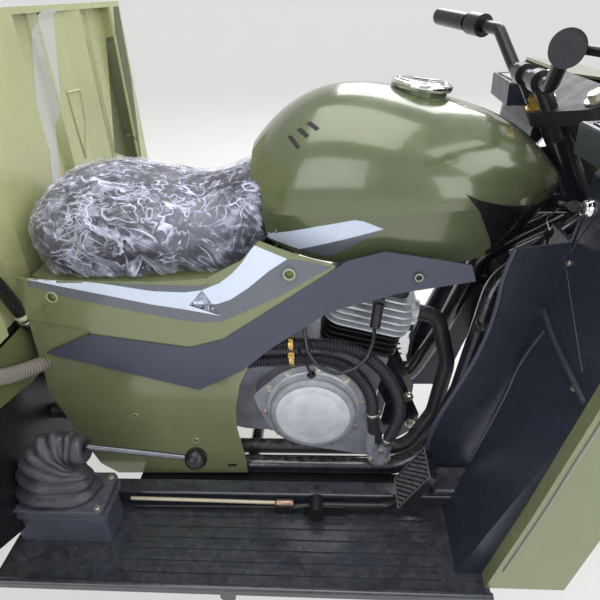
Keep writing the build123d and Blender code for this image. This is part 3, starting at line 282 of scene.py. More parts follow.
@dataclass(frozen=True)
class FilmFinish:
    """Clear crinkled wrapping film, whitened along its folds partly as its own milkiness and partly as painted
    highlight.

    Each set of creases has its scale, how far it is stretched, its turn, its folds' width and their strength.
    """

    name: str = "clear_film"
    creases: tuple[tuple[float, float, Point, float, float], ...] = (
        (34.0, 9.0, (0.1, -0.9, 0.1), 0.022, 0.95), (46.0, 7.0, (0.0, 0.45, -0.2), 0.026, 0.8),
        (60.0, 8.0, (0.3, -0.6, 0.1), 0.03, 0.9), (75.0, 5.0, (0.2, 1.3, 0.2), 0.035, 0.7))

    def build(self) -> bpy.types.Material:
        """Make the film: mostly clear, whitened along its folds partly as milkiness and partly as painted highlight,
        with painted sheens and streaks.

        Returns:
            The material.
        """
        board = Board(self.name)
        share = board.span(board.noise(7.0, 4.0, 0.6), 0.42, 0.72, 0.04, 0.22)
        for scale, stretch, turn, width, strength in self.creases:
            place = board.add("ShaderNodeMapping", {"Vector": board.coords, "Scale": (1.0, 1.0, stretch),
                                                    "Rotation": turn}, vector_type="TEXTURE").outputs["Vector"]
            seen = board.span(board.noise(9.0 + scale * 0.1, 3.0, 0.6), 0.44, 0.62)
            fold_and_glint = board.ramp(board.noise(scale, 1.0, 0.4, place),
                              [(0.5 - width, BLACK), (0.5, (strength,) * 3), (0.5 + width * 2.5, BLACK)])
            painted_sheen = board.span(board.noise(scale * 0.8, 1.0, 0.4, place), 0.56, 0.66, 0.0, 0.4)
            painted_streak = board.span(board.noise(scale * 4.5, 2.0, 0.5, place), 0.6, 0.74, 0.0, 0.75)
            # The white base colour that shows through the folds, sheens and streaks paints the film's glints.
            for layer in (fold_and_glint, painted_sheen, painted_streak):
                share = board.math("MAXIMUM", share, board.math("MULTIPLY", layer, seen))
            board.bump(fold_and_glint, 0.7, 0.02 / scale)
        board.set(Alpha=share, Base_Color=(0.74, 0.76, 0.97, 1.0), Roughness=0.15, IOR=1.5, Specular_IOR_Level=0.8)
        board.material.surface_render_method = "BLENDED"
        return board.done()


@dataclass(frozen=True)
class TreadFinish:
    """Dusty tyre rubber with a fine grain."""

    name: str = "tyre_compound"

    def build(self) -> bpy.types.Material:
        """Make the rubber.

        Returns:
            The material.
        """
        board = Board(self.name)
        colour = board.ramp(board.noise(40.0, 5.0), [(0.3, (0.018, 0.018, 0.018)), (0.7, (0.034, 0.033, 0.031))])
        dusted = board.span(board.noise(18.0, 5.0, 0.7), 0.45, 0.75, 0.0, 0.3)
        board.set(Base_Color=board.blend(dusted, colour, (0.16, 0.145, 0.12)), Roughness=0.78)
        board.bump(board.noise(700.0, 3.0), 1.0, 0.0002)
        return board.done()


@dataclass(frozen=True)
class LensFinish:
    """Moulded lamp lens with fine fluting."""

    name: str
    colour: Point
    clear: float = 0.0

    def build(self) -> bpy.types.Material:
        """Make the lens.

        Returns:
            The material.
        """
        board = Board(self.name)
        wave = board.add("ShaderNodeTexWave", {"Vector": board.coords, "Scale": 60.0, "Distortion": 0.0},
                         bands_direction="Y").outputs["Fac"]
        tint = board.ramp(wave, [(0.0, tuple(c * 0.7 for c in self.colour)), (1.0, self.colour)])
        board.set(Base_Color=tint, Roughness=0.06, Coat_Weight=0.8, Transmission_Weight=self.clear, IOR=1.45)
        board.bump(wave, 0.5, 0.0008)
        return board.done()


AnyFinish = Finish | FilmFinish | TreadFinish | LensFinish

GREEN = Finish("olive_paint", (0.172, 0.195, 0.096), rough=0.25, metal=0.2, coat=0.55, vary=0.06, patch=5.0,
               grain=1400.0, depth=6e-06, flake=0.35, spread=0.04)
DARK_COVER = Finish("graphite_moulding", (0.052, 0.057, 0.086), rough=0.32, vary=0.08, grain=2300.0, depth=3e-05,
                    spread=0.05)
STRIPE_WHITE = Finish("white_stripe", (0.62, 0.69, 0.84), rough=0.28, coat=0.5, vary=0.03, depth=0.0)
STRIPE_GREY = Finish("grey_stripe", (0.115, 0.125, 0.15), rough=0.3, coat=0.5, vary=0.05, depth=0.0)
FRAME_BLACK = Finish("black_enamel", (0.016, 0.017, 0.022), rough=0.2, coat=0.7, vary=0.2, patch=20.0, wave=55.0,
                     wave_depth=0.0002, depth=0.0, dust=0.25)
UNDER_BLACK = Finish("black_underside", (0.02, 0.02, 0.022), rough=0.45, vary=0.25, patch=24.0, depth=8e-05, dust=0.45)
MAT_BLACK = Finish("footboard_black", (0.024, 0.027, 0.036), rough=0.2, coat=0.5, vary=0.25, patch=30.0, wave=34.0,
                   wave_depth=0.0014, depth=4e-05, dust=0.07)
CONSOLE_BLACK = Finish("console_moulding", (0.021, 0.025, 0.039), rough=0.3, vary=0.12, grain=1900.0, depth=5e-05,
                       dust=0.15)
BED_PAINT = Finish("bed_olive", (0.38, 0.39, 0.185), rough=0.3, coat=0.4, vary=0.08, patch=6.0, wave=10.0,
                   wave_depth=0.0005, depth=1e-05, dust=0.07)
CAST = Finish("cast_alloy", (0.6, 0.62, 0.66), rough=0.4, metal=0.35, vary=0.12, patch=30.0, grain=1300.0,
              depth=0.00018, dust=0.15)
CAST_DARK = Finish("cast_alloy_case", (0.3, 0.31, 0.35), rough=0.48, metal=0.4, vary=0.2, patch=36.0, grain=1000.0,
                   depth=0.00026, dust=0.3)
FIN_ALLOY = Finish("fin_alloy", (0.82, 0.85, 0.9), rough=0.42, metal=0.25, vary=0.14, patch=50.0, grain=1500.0,
                   depth=0.0001)
RUBBER = Finish("black_rubber", (0.018, 0.018, 0.02), rough=0.5, vary=0.2, grain=1200.0, depth=0.0001, dust=0.2)
GAITER_RUBBER = Finish("gaiter_rubber", (0.032, 0.034, 0.044), rough=0.42, vary=0.25, patch=30.0, grain=900.0,
                       depth=8e-05, dust=0.12)
HOSE_BLACK = Finish("hose_plastic", (0.022, 0.023, 0.03), rough=0.3, vary=0.15, depth=3e-05)
CHROME = Finish("chrome_plate", (0.78, 0.78, 0.79), rough=0.07, metal=1.0, vary=0.03, depth=0.0, spread=0.03)
STEEL = Finish("bare_steel", (0.55, 0.54, 0.52), rough=0.3, metal=1.0, vary=0.1, patch=40.0, grain=1800.0, depth=2e-05)
ZINC = Finish("zinc_plate", (0.62, 0.58, 0.5), rough=0.3, metal=0.9, vary=0.12, patch=50.0, depth=2e-05)
BRASS = Finish("yellow_zinc", (0.62, 0.43, 0.14), rough=0.3, metal=0.9, vary=0.2, patch=60.0, depth=3e-05)
BOLT_BLACK = Finish("black_bolt", (0.02, 0.02, 0.022), rough=0.28, metal=0.5, vary=0.2, patch=60.0, depth=3e-05)
RIM_SILVER = Finish("wheel_silver", (0.5, 0.51, 0.52), rough=0.35, metal=0.7, vary=0.08, depth=3e-05, dust=0.3)
CREAM_ROD = Finish("cream_rod", (0.46, 0.41, 0.3), rough=0.4, metal=0.3, vary=0.15, patch=40.0, depth=3e-05)
CONDUIT_GREY = Finish("grey_conduit", (0.2, 0.175, 0.15), rough=0.5, vary=0.2, depth=4e-05)
VINYL = Finish("seat_vinyl", (0.02, 0.019, 0.023), rough=0.4, vary=0.15, grain=1100.0, depth=0.00022)
# Painted shade: near-black colour that stands in for the shade inside slots and vents.
SLOT_SHADE = Finish("dark_recess", (0.012, 0.012, 0.012), rough=0.6, vary=0.2, depth=0.0)
LEVER_STEEL = Finish("lever_steel", (0.12, 0.125, 0.14), rough=0.25, metal=0.9, vary=0.12, patch=40.0, depth=2e-05)
SCREW_GREEN = Finish("screw_green", (0.1, 0.12, 0.03), rough=0.18, metal=0.6, vary=0.1, depth=0.0, spread=0.04)
SCREW_RIM = Finish("screw_rim", (0.27, 0.31, 0.2), rough=0.3, metal=0.2, coat=0.4, vary=0.08, depth=0.0)
CAP_DARK = Finish("cap_centre_black", (0.03, 0.032, 0.036), rough=0.16, metal=0.4, coat=0.6, vary=0.15, patch=40.0,
                  depth=0.0)
# Painted shade: dark metal colour for the core seen between the head's bright fins.
FIN_GAP_SHADE = Finish("fin_gap_metal", (0.08, 0.085, 0.095), rough=0.6, metal=0.4, vary=0.25, patch=50.0, depth=0.0001)
BARREL_BLACK = Finish("barrel_enamel", (0.02, 0.021, 0.024), rough=0.42, metal=0.1, vary=0.25, patch=40.0, depth=0.0001)
BLUE_PLASTIC = Finish("blue_plastic", (0.05, 0.07, 0.3), rough=0.3, vary=0.1, depth=2e-05)
COPPER = Finish("copper_clevis", (0.34, 0.23, 0.17), rough=0.32, metal=0.9, vary=0.2, patch=60.0, depth=3e-05)
PAD_RUBBER = Finish("pedal_rubber", (0.05, 0.055, 0.065), rough=0.5, vary=0.2, patch=50.0, depth=0.00012, dust=0.3)
# Painted highlight: lighter blue-grey for the lit seam and rolled edges of the black console.
EDGE_HIGHLIGHT = Finish("seam_grey", (0.04, 0.044, 0.062), rough=0.3, vary=0.1, depth=0.0)
LABEL_GREY = Finish("label_grey", (0.3, 0.31, 0.33), rough=0.3, vary=0.05, depth=0.0)
CREAM_BAND = Finish("cream_band", (0.5, 0.45, 0.34), rough=0.45, vary=0.1, depth=3e-05)
# Painted highlight: pale grey for the lit face of a pressed channel on the headboard.
STRIP_HIGHLIGHT = Finish("strip_grey", (0.46, 0.46, 0.4), rough=0.35, coat=0.3, vary=0.06, depth=1e-05)
BOX_GREY = Finish("lever_box_moulding", (0.055, 0.058, 0.08), rough=0.4, vary=0.12, patch=20.0, depth=3e-05, dust=0.15)
TANK_GREEN = Finish("tank_paint", (0.118, 0.14, 0.07), rough=0.24, metal=0.25, coat=0.8, vary=0.05, patch=5.0,
                    depth=6e-06)
CLAMP_BLACK = Finish("clamp_black", (0.016, 0.017, 0.02), rough=0.55, vary=0.15, depth=4e-05)
SEAL_GREY = Finish("seal_grey", (0.22, 0.23, 0.2), rough=0.45, vary=0.1, depth=2e-05)
# Painted shade: the bed's olive darkened for the apron low under the bed.
BED_LOW_SHADE = Finish("bed_olive_low", (0.1, 0.112, 0.045), rough=0.4, vary=0.15, patch=8.0, depth=1e-05)
BED_SHADE = Finish("bed_olive_shade", (0.075, 0.082, 0.03), rough=0.4, vary=0.1, depth=1e-05)
FLOOR = Finish("studio_floor", (0.8, 0.785, 0.77), rough=0.75, vary=0.02, patch=2.0, depth=0.0)


@cache
def material_of(finish: AnyFinish) -> bpy.types.Material:
    """Give a finish's material, built once."""
    return finish.build()


def coat_node(node: str, finish: AnyFinish) -> None:
    """Give a CAD node a finish in all its material slots.

    Args:
        node: The node's name.
        finish: The finish.
    """
    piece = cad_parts[node]
    material = material_of(finish)
    if not piece.material_slots:
        piece.data.materials.append(material)
    for slot in piece.material_slots:
        slot.material = material


def put(name: str, data: bpy.types.ID) -> bpy.types.Object:
    """Make an object and link it to the scene.

    Args:
        name: The object's name.
        data: Its mesh, curve, lamp or camera.

    Returns:
        The object.
    """
    thing = bpy.data.objects.new(name, data)
    bpy.context.scene.collection.objects.link(thing)
    return thing


def shade(mesh: bpy.types.Mesh, smooth: bool = True) -> None:
    """Shade every face of a mesh smooth or flat."""
    for face in mesh.polygons:
        face.use_smooth = smooth


def walls(count: int) -> Faces:
    """Give the faces of a prism from the number of corners of its two ends."""
    ends = [tuple(range(count - 1, -1, -1)), tuple(range(count, 2 * count))]
    return ends + [(i, (i + 1) % count, (i + 1) % count + count, i + count) for i in range(count)]


def tiles(rows: int, steps: int) -> Faces:
    """Give the faces of a skin of rings that have a number of steps each."""
    return [(row * steps + step, row * steps + (step + 1) % steps, (row + 1) * steps + (step + 1) % steps,
             (row + 1) * steps + step) for row in range(rows) for step in range(steps)]


def cornered(route: Route) -> list[Point]:
    """Double the points of a route, so that a soft line through them keeps its corners."""
    return [p for point in route for p in (point, point)]


def rectangle(low: Corner, high: Corner) -> Outline:
    """Give a rectangle's outline from two opposite corners."""
    return [low, (high[0], low[1]), high, (low[0], high[1])]


def leaning(angle: float) -> tuple[Vector, Vector]:
    """Give the axis that leans forward by an angle in radians, and the way forward across it."""
    return Vector((math.sin(angle), 0, math.cos(angle))), Vector((math.cos(angle), 0, -math.sin(angle)))


def mesh_piece(name: str, points: list[Vector], faces: Faces, finish: Finish, body: Body | None = Body.FRAME,
               smooth: bool = True, edge: float = 0.0) -> bpy.types.Object:
    """Make a mesh piece in the trike's frame.

    Args:
        name: The piece's name.
        points: Its points, in metres.
        faces: Its faces as tuples of point numbers.
        finish: Its finish.
        body: The body that it rides on, or None for a piece of the stage.
        smooth: Whether it is shaded smooth.
        edge: Width in metres by which its edges are rounded.

    Returns:
        The piece.
    """
    mesh = bpy.data.meshes.new(name)
    mesh.from_pydata([tuple(p) for p in points], [], faces)
    mesh.validate()
    mesh.materials.append(material_of(finish))
    piece = put(name, mesh)
    clean = bmesh.new()
    clean.from_mesh(mesh)
    bmesh.ops.remove_doubles(clean, verts=clean.verts, dist=1e-6)
    bmesh.ops.recalc_face_normals(clean, faces=clean.faces)
    clean.to_mesh(mesh)
    clean.free()
    shade(mesh, smooth)
    if edge:
        bevel = piece.modifiers.new("edge", "BEVEL")
        bevel.width = edge
        bevel.segments = 2
        bevel.limit_method = "ANGLE"
        bevel.angle_limit = EDGE_ANGLE
        piece = settle(piece)
    if body:
        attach(piece, body.value)
    return piece


def settle(piece: bpy.types.Object) -> bpy.types.Object:
    """Turn a piece with modifiers, or a curve, into a plain mesh at the origin.

    Args:
        piece: The piece.

    Returns:
        The plain mesh piece, under the same name.
    """
    bpy.context.view_layer.update()
    graph = bpy.context.evaluated_depsgraph_get()
    mesh = bpy.data.meshes.new_from_object(piece.evaluated_get(graph), preserve_all_data_layers=True, depsgraph=graph)
    mesh.transform(piece.matrix_world)
    name = piece.name
    materials = [m for m in piece.data.materials if m]
    bpy.data.objects.remove(piece)
    if not [m for m in mesh.materials if m]:
        mesh.materials.clear()
        for material in materials:
            mesh.materials.append(material)
    mesh.name = name
    return put(name, mesh)


def node_surface(node: str) -> BVHTree:
    """Give a tree of a CAD node's faces for finding its surface.

    Args:
        node: The node's name.

    Returns:
        The tree.
    """
    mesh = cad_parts[node].data
    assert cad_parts[node].matrix_world == Matrix.Identity(4)
    return BVHTree.FromPolygons([v.co.copy() for v in mesh.vertices], [tuple(p.vertices) for p in mesh.polygons])


def spun(profile: Outline, place: Vector, axis: Vector, steps: int) -> Shape:
    """Turn a profile about an axis.

    Args:
        profile: Radius and height of each profile point, in metres, from one pole or rim to the other.
        place: A point on the axis at height zero.
        axis: The axis's direction.
        steps: Points round the axis.

    Returns:
        Points and faces.
    """
    turn = axis.normalized().to_track_quat("Z", "Y").to_matrix()
    angles = [2 * math.pi * step / steps for step in range(steps)]
    points = [place + turn @ Vector((radius * math.cos(angle), radius * math.sin(angle), height))
              for radius, height in profile for angle in angles]
    faces = tiles(len(profile) - 1, steps)
    for row, order in ((0, -1), (len(profile) - 1, 1)):
        if profile[row][0] > 1e-6:
            faces.append(tuple(row * steps + step for step in range(steps))[::order])
    return points, faces


def soft_line(name: str, points: Route) -> bpy.types.Object:
    """Make a smooth open curve.

    Args:
        name: The curve object's name.
        points: Control points in millimetres.

    Returns:
        The curve object, with no bevel.
    """
    curve = bpy.data.curves.new(name, "CURVE")
    curve.dimensions = "3D"
    spline = curve.splines.new("NURBS")
    spline.points.add(len(points) - 1)
    for point, place in zip(spline.points, points):
        point.co = (place[0] * MM, place[1] * MM, place[2] * MM, 1.0)
    spline.order_u = 3
    spline.use_endpoint_u = True
    spline.resolution_u = 12
    return put(name, curve)


def tube_piece(name: str, points: Route, radius: float, finish: Finish, sides: int = 4) -> bpy.types.Object:
    """Make a smooth round tube along a route.

    Args:
        name: The piece's name.
        points: Control points in millimetres.
        radius: The tube's radius in millimetres.
        finish: Its finish.
        sides: Resolution of its section.

    Returns:
        The piece.
    """
    line = soft_line(name, points)
    line.data.bevel_depth = radius * MM
    line.data.bevel_resolution = sides
    line.data.use_fill_caps = True
    line.data.materials.append(material_of(finish))
    piece = settle(line)
    shade(piece.data)
    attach(piece, Body.FRAME.value)
    return piece


class Recipe(Nodes):
    """A Geometry Nodes tree with named inputs, built once and applied to many pieces."""

    def __init__(self, name: str, sizes: dict[str, float]) -> None:
        """Start a tree with a geometry input, sizes, a finish and a geometry output.

        Args:
            name: The tree's name.
            sizes: Named float inputs with their defaults.
        """
        super().__init__(bpy.data.node_groups.new(name, "GeometryNodeTree"))
        face = self.tree.interface
        face.new_socket("Geometry", in_out="INPUT", socket_type="NodeSocketGeometry")
        self.keys: dict[str, str] = {}
        for key, value in sizes.items():
            socket = face.new_socket(key, in_out="INPUT", socket_type="NodeSocketFloat")
            socket.default_value = value
            self.keys[key] = socket.identifier
        self.keys["Finish"] = face.new_socket("Finish", in_out="INPUT", socket_type="NodeSocketMaterial").identifier
        face.new_socket("Geometry", in_out="OUTPUT", socket_type="NodeSocketGeometry")
        self.size = self.add("NodeGroupInput").outputs
        self.result = self.add("NodeGroupOutput")

    def close(self, geometry: Socket) -> None:
        """End the tree in realized instances with the finish set.

        Args:
            geometry: The finished geometry's socket.
        """
        real = self.add("GeometryNodeRealizeInstances", {"Geometry": geometry})
        dressed = self.add("GeometryNodeSetMaterial", {"Geometry": real.outputs[0], "Material": self.size["Finish"]})
        self.feed(dressed.outputs[0], self.result.inputs[0])

    def scatter(self, shape: Socket, rotation: Socket) -> None:
        """End the tree in a copy of a shape on each of the base's points.

        Args:
            shape: The shape's socket.
            rotation: The socket of each copy's rotation.
        """
        points = self.add("GeometryNodeMeshToPoints", {"Mesh": self.size[0]})
        placed = self.add("GeometryNodeInstanceOnPoints", {"Points": points.outputs[0], "Instance": shape,
                                                           "Rotation": rotation})
        self.close(placed.outputs[0])

    def make(self, base: bpy.types.Object, finish: AnyFinish, body: Body, sizes: dict[str, float],
             smooth: bool = False) -> bpy.types.Object:
        """Apply the tree to a base and keep the result as a plain mesh.

        Args:
            base: The object that carries the path or points.
            finish: The finish.
            body: The body that the result rides on.
            sizes: Values for the named inputs.
            smooth: Whether the result is shaded smooth.

        Returns:
            The finished piece.
        """
        modifier = base.modifiers.new("recipe", "NODES")
        modifier.node_group = self.tree
        for key, value in sizes.items():
            modifier[self.keys[key]] = value
        modifier[self.keys["Finish"]] = material_of(finish)
        piece = settle(base)
        shade(piece.data, smooth)
        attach(piece, body.value)
        return piece


def fastener_recipe() -> Recipe:
    """Build the tree that sets a head with its washer on each point, along the point's facing.

    Returns:
        The recipe.
    """
    recipe = Recipe("Fasteners", {"Head Radius": 0.005, "Head Height": 0.004, "Sides": 6.0})
    radius, height = recipe.size["Head Radius"], recipe.size["Head Height"]
    facing = recipe.add("GeometryNodeInputNamedAttribute", {"Name": "facing"}, data_type="FLOAT_VECTOR")
    turned = recipe.add("FunctionNodeAlignRotationToVector", {"Vector": facing.outputs["Attribute"]}, axis="Z")
    sides = recipe.add("FunctionNodeFloatToInt", {"Float": recipe.size["Sides"]})
    head = recipe.add("GeometryNodeMeshCylinder", {"Vertices": sides.outputs[0], "Radius": radius, "Depth": height})
    raised = recipe.add("ShaderNodeCombineXYZ", {"Z": recipe.math("MULTIPLY", height, 0.7)})
    lifted = recipe.add("GeometryNodeTransform", {"Geometry": head.outputs["Mesh"], "Translation": raised.outputs[0]})
    washer = recipe.add("GeometryNodeMeshCylinder", {
        "Vertices": 20, "Radius": recipe.math("MULTIPLY", radius, 1.45), "Depth": recipe.math("MULTIPLY", height, 0.4)})
    both = recipe.add("GeometryNodeJoinGeometry", {0: lifted.outputs[0]})
    recipe.feed(washer.outputs["Mesh"], both.inputs[0])
    recipe.scatter(both.outputs[0], turned.outputs[0])
    return recipe


def hose_recipe() -> Recipe:
    """Build the tree that runs a corrugated tube along a path.

    Returns:
        The recipe.
    """
    recipe = Recipe("Corrugated hose", {"Radius": 0.011, "Pitch": 0.006, "Depth": 0.16, "Step": 0.001})
    size = recipe.size
    even = recipe.add("GeometryNodeResampleCurve", {"Curve": size[0], "Length": size["Step"]}, mode="LENGTH")
    along = recipe.add("GeometryNodeSplineParameter")
    turns = recipe.math("DIVIDE", along.outputs["Length"], size["Pitch"])
    wave = recipe.math("SINE", recipe.math("MULTIPLY", turns, 2 * math.pi), 0.0)
    swell = recipe.math("ADD", 1.0, recipe.math("MULTIPLY", wave, size["Depth"]))
    ring = recipe.add("GeometryNodeCurvePrimitiveCircle", {"Resolution": 20, "Radius": 1.0})
    tube = recipe.add("GeometryNodeCurveToMesh", {
        "Curve": even.outputs[0], "Profile Curve": ring.outputs["Curve"],
        "Scale": recipe.math("MULTIPLY", swell, size["Radius"]), "Fill Caps": True})
    recipe.close(tube.outputs[0])
    return recipe


def tread_recipe() -> Recipe:
    """Build the tree that sets a block on each point, turned by the point's angles.

    Returns:
        The recipe.
    """
    recipe = Recipe("Tread blocks", {"Block Length": 0.03, "Block Width": 0.02, "Block Height": 0.008})
    size = recipe.size
    turn = recipe.add("GeometryNodeInputNamedAttribute", {"Name": "turn"}, data_type="FLOAT_VECTOR")
    extent = recipe.add("ShaderNodeCombineXYZ", {"X": size["Block Length"], "Y": size["Block Width"],
                                                 "Z": size["Block Height"]})
    block = recipe.add("GeometryNodeMeshCube", {"Size": extent.outputs[0]})
    rotation = recipe.add("FunctionNodeEulerToRotation", {"Euler": turn.outputs["Attribute"]})
    recipe.scatter(block.outputs["Mesh"], rotation.outputs[0])
    return recipe


FASTENERS = fastener_recipe()
HOSES = hose_recipe()
TREADS = tread_recipe()


def dotted(name: str, points: list[Vector], key: str, values: list[Vector]) -> bpy.types.Object:
    """Make a mesh of loose points that carry a vector each.

    Args:
        name: The object's name.
        points: The points, in metres.
        key: The attribute's name.
        values: One vector for each point.

    Returns:
        The object.
    """
    mesh = bpy.data.meshes.new(name)
    mesh.from_pydata([tuple(p) for p in points], [], [])
    attribute = mesh.attributes.new(key, "FLOAT_VECTOR", "POINT")
    attribute.data.foreach_set("vector", [c for value in values for c in value])
    return put(name, mesh)


def bolts(name: str, places: Route, facing: Point, radius: float, height: float, finish: Finish, sides: int = 6,
          body: Body = Body.FRAME) -> None:
    """Set bolt or screw heads at places that face one way.

    Args:
        name: The piece's name.
        places: Centres of the seats, in millimetres.
        facing: The way that the heads face.
        radius: Head radius in millimetres.
        height: Head height in millimetres.
        finish: Their finish.
        sides: Six for a hexagon, more for a round head.
        body: The body that they ride on.
    """
    way = Vector(facing).normalized()
    base = dotted(name, [Vector(p) * MM for p in places], "facing", [way] * len(places))
    FASTENERS.make(base, finish, body, {"Head Radius": radius * MM, "Head Height": height * MM, "Sides": float(sides)})


def corrugated(name: str, points: Route, radius: float, pitch: float, finish: Finish, depth: float
               ) -> bpy.types.Object:
    """Run a corrugated hose along a route.

    Args:
        name: The piece's name.
        points: Control points in millimetres.
        radius: Middle radius in millimetres.
        pitch: Distance from rib to rib in millimetres.
        finish: Its finish.
        depth: Rib height as a share of the radius.

    Returns:
        The piece.
    """
    return HOSES.make(soft_line(name, points), finish, Body.FRAME, {
        "Radius": radius * MM, "Pitch": pitch * MM, "Depth": depth, "Step": pitch * MM / 8}, smooth=True)


def prism(name: str, outline: Outline, axis: int, low: float, high: float, finish: Finish,
          edge: float = 0.0008) -> None:
    """Cut a flat plate from an outline and break its edges.

    Args:
        name: The piece's name.
        outline: Its corners in millimetres, in the two axes that are left.
        axis: The axis that its thickness runs along.
        low: Where the plate begins on that axis.
        high: Where it ends.
        finish: Its finish.
        edge: The edges' bevel in metres.
    """
    points = [Vector((*corner[:axis], level, *corner[axis:])) * MM for level in (low, high) for corner in outline]
    mesh_piece(name, points, walls(len(outline)), finish, smooth=False, edge=edge)


def decal(name: str, outline: Outline, surface: BVHTree, side: Side | None, finish: Finish, lift: float = 0.35,
          cell: float = 6.0) -> None:
    """Lay a thin painted shape on a panel, following its surface.

    Args:
        name: The piece's name.
        outline: Its corners in millimetres, x and z in side view, or y and z on a panel that faces forward.
        surface: The panel's surface.
        side: The side of the trike that it is on, or None on a panel that faces forward.
        finish: Its finish.
        lift: Height over the surface in millimetres.
        cell: Size of its mesh cells in millimetres.
    """
    shape = bmesh.new()
    flat, deep, sign = (1, 0, 1.0) if side is None else (0, 1, side.value)
    corners = []
    for across, height in outline:
        corner = Vector((0.0, 0.0, height * MM))
        corner[flat] = across * MM
        corners.append(shape.verts.new(corner))
    shape.faces.new(corners)
    bmesh.ops.triangulate(shape, faces=shape.faces)
    for axis, reach in ((flat, [u for u, _ in outline]), (2, [v for _, v in outline])):
        normal = Vector([float(i == axis) for i in range(3)])
        place = min(reach) + cell
        while place < max(reach):
            parts = shape.verts[:] + shape.edges[:] + shape.faces[:]
            bmesh.ops.bisect_plane(shape, geom=parts, dist=1e-7, plane_co=normal * (place * MM), plane_no=normal)
            place += cell
    bmesh.ops.triangulate(shape, faces=shape.faces)
    for vert in shape.verts:
        start, way = vert.co.copy(), Vector((0, 0, 0))
        start[deep], way[deep] = sign * OUTSIDE, -sign
        hit, normal, _, _ = surface.ray_cast(start, way)
        if hit is None:
            start[deep] = sign * MIDDLE
            hit, normal, _, _ = surface.find_nearest(start)
        if normal[deep] * sign < 0:
            normal = -normal
        vert.co = hit + normal * lift * MM
    mesh = bpy.data.meshes.new(name)
    shape.to_mesh(mesh)
    shape.free()
    mesh.materials.append(material_of(finish))
    shade(mesh)
    if sum(p.normal[deep] * p.area for p in mesh.polygons) * sign < 0:
        mesh.flip_normals()
    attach(put(name, mesh), Body.FRAME.value)


@dataclass(frozen=True)
class PlainNodes:
    """Finishes of the CAD nodes that keep their own shape. A node that no row names is black underneath."""

    rows: tuple[tuple[AnyFinish, str], ...] = (
        (FRAME_BLACK, "main_frame"), (MAT_BLACK, "footboards"), (CLAMP_BLACK, "fork"),
        (BOLT_BLACK, "brake_pedal shift_pedal handlebar"), (CAST_DARK, "engine_block"),
        (BED_PAINT, "bed_floor bed_side_left bed_side_right tailgate headboard"), (BARREL_BLACK, "cylinder_barrel"),
        (FIN_ALLOY, "cylinder_head"), (CONSOLE_BLACK, "front_console dashboard"), (BOX_GREY, "lever_box"),
        (RUBBER, "radiator"), (GAITER_RUBBER, "lever_gaiter"), (HOSE_BLACK, "coolant_hoses spark_lead"),
        (VINYL, "seat"), (CHROME, "fuel_cap"), (LEVER_STEEL, "range_lever"), (TANK_GREEN, "fuel_tank"),
        (RIM_SILVER, "front_rim left_rim right_rim"), (TreadFinish(), "front_tyre left_tyre right_tyre"),
        (LensFinish("front_lens", (0.75, 0.77, 0.8), 0.3), "front_lamps"),
        (LensFinish("rear_lens", (0.5, 0.02, 0.012)), "tail_lamps"),
        (GREEN, "side_cover_left side_cover_right lower_panel_left lower_panel_right front_fairing front_mudguard"),
        (DARK_COVER, "frame_cover_left frame_cover_right"))

    def dress(self) -> None:
        """Give every CAD node its finish."""
        named = {node: finish for finish, nodes in self.rows for node in nodes.split()}
        for node in sorted(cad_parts):
            coat_node(node, named.get(node, UNDER_BLACK))


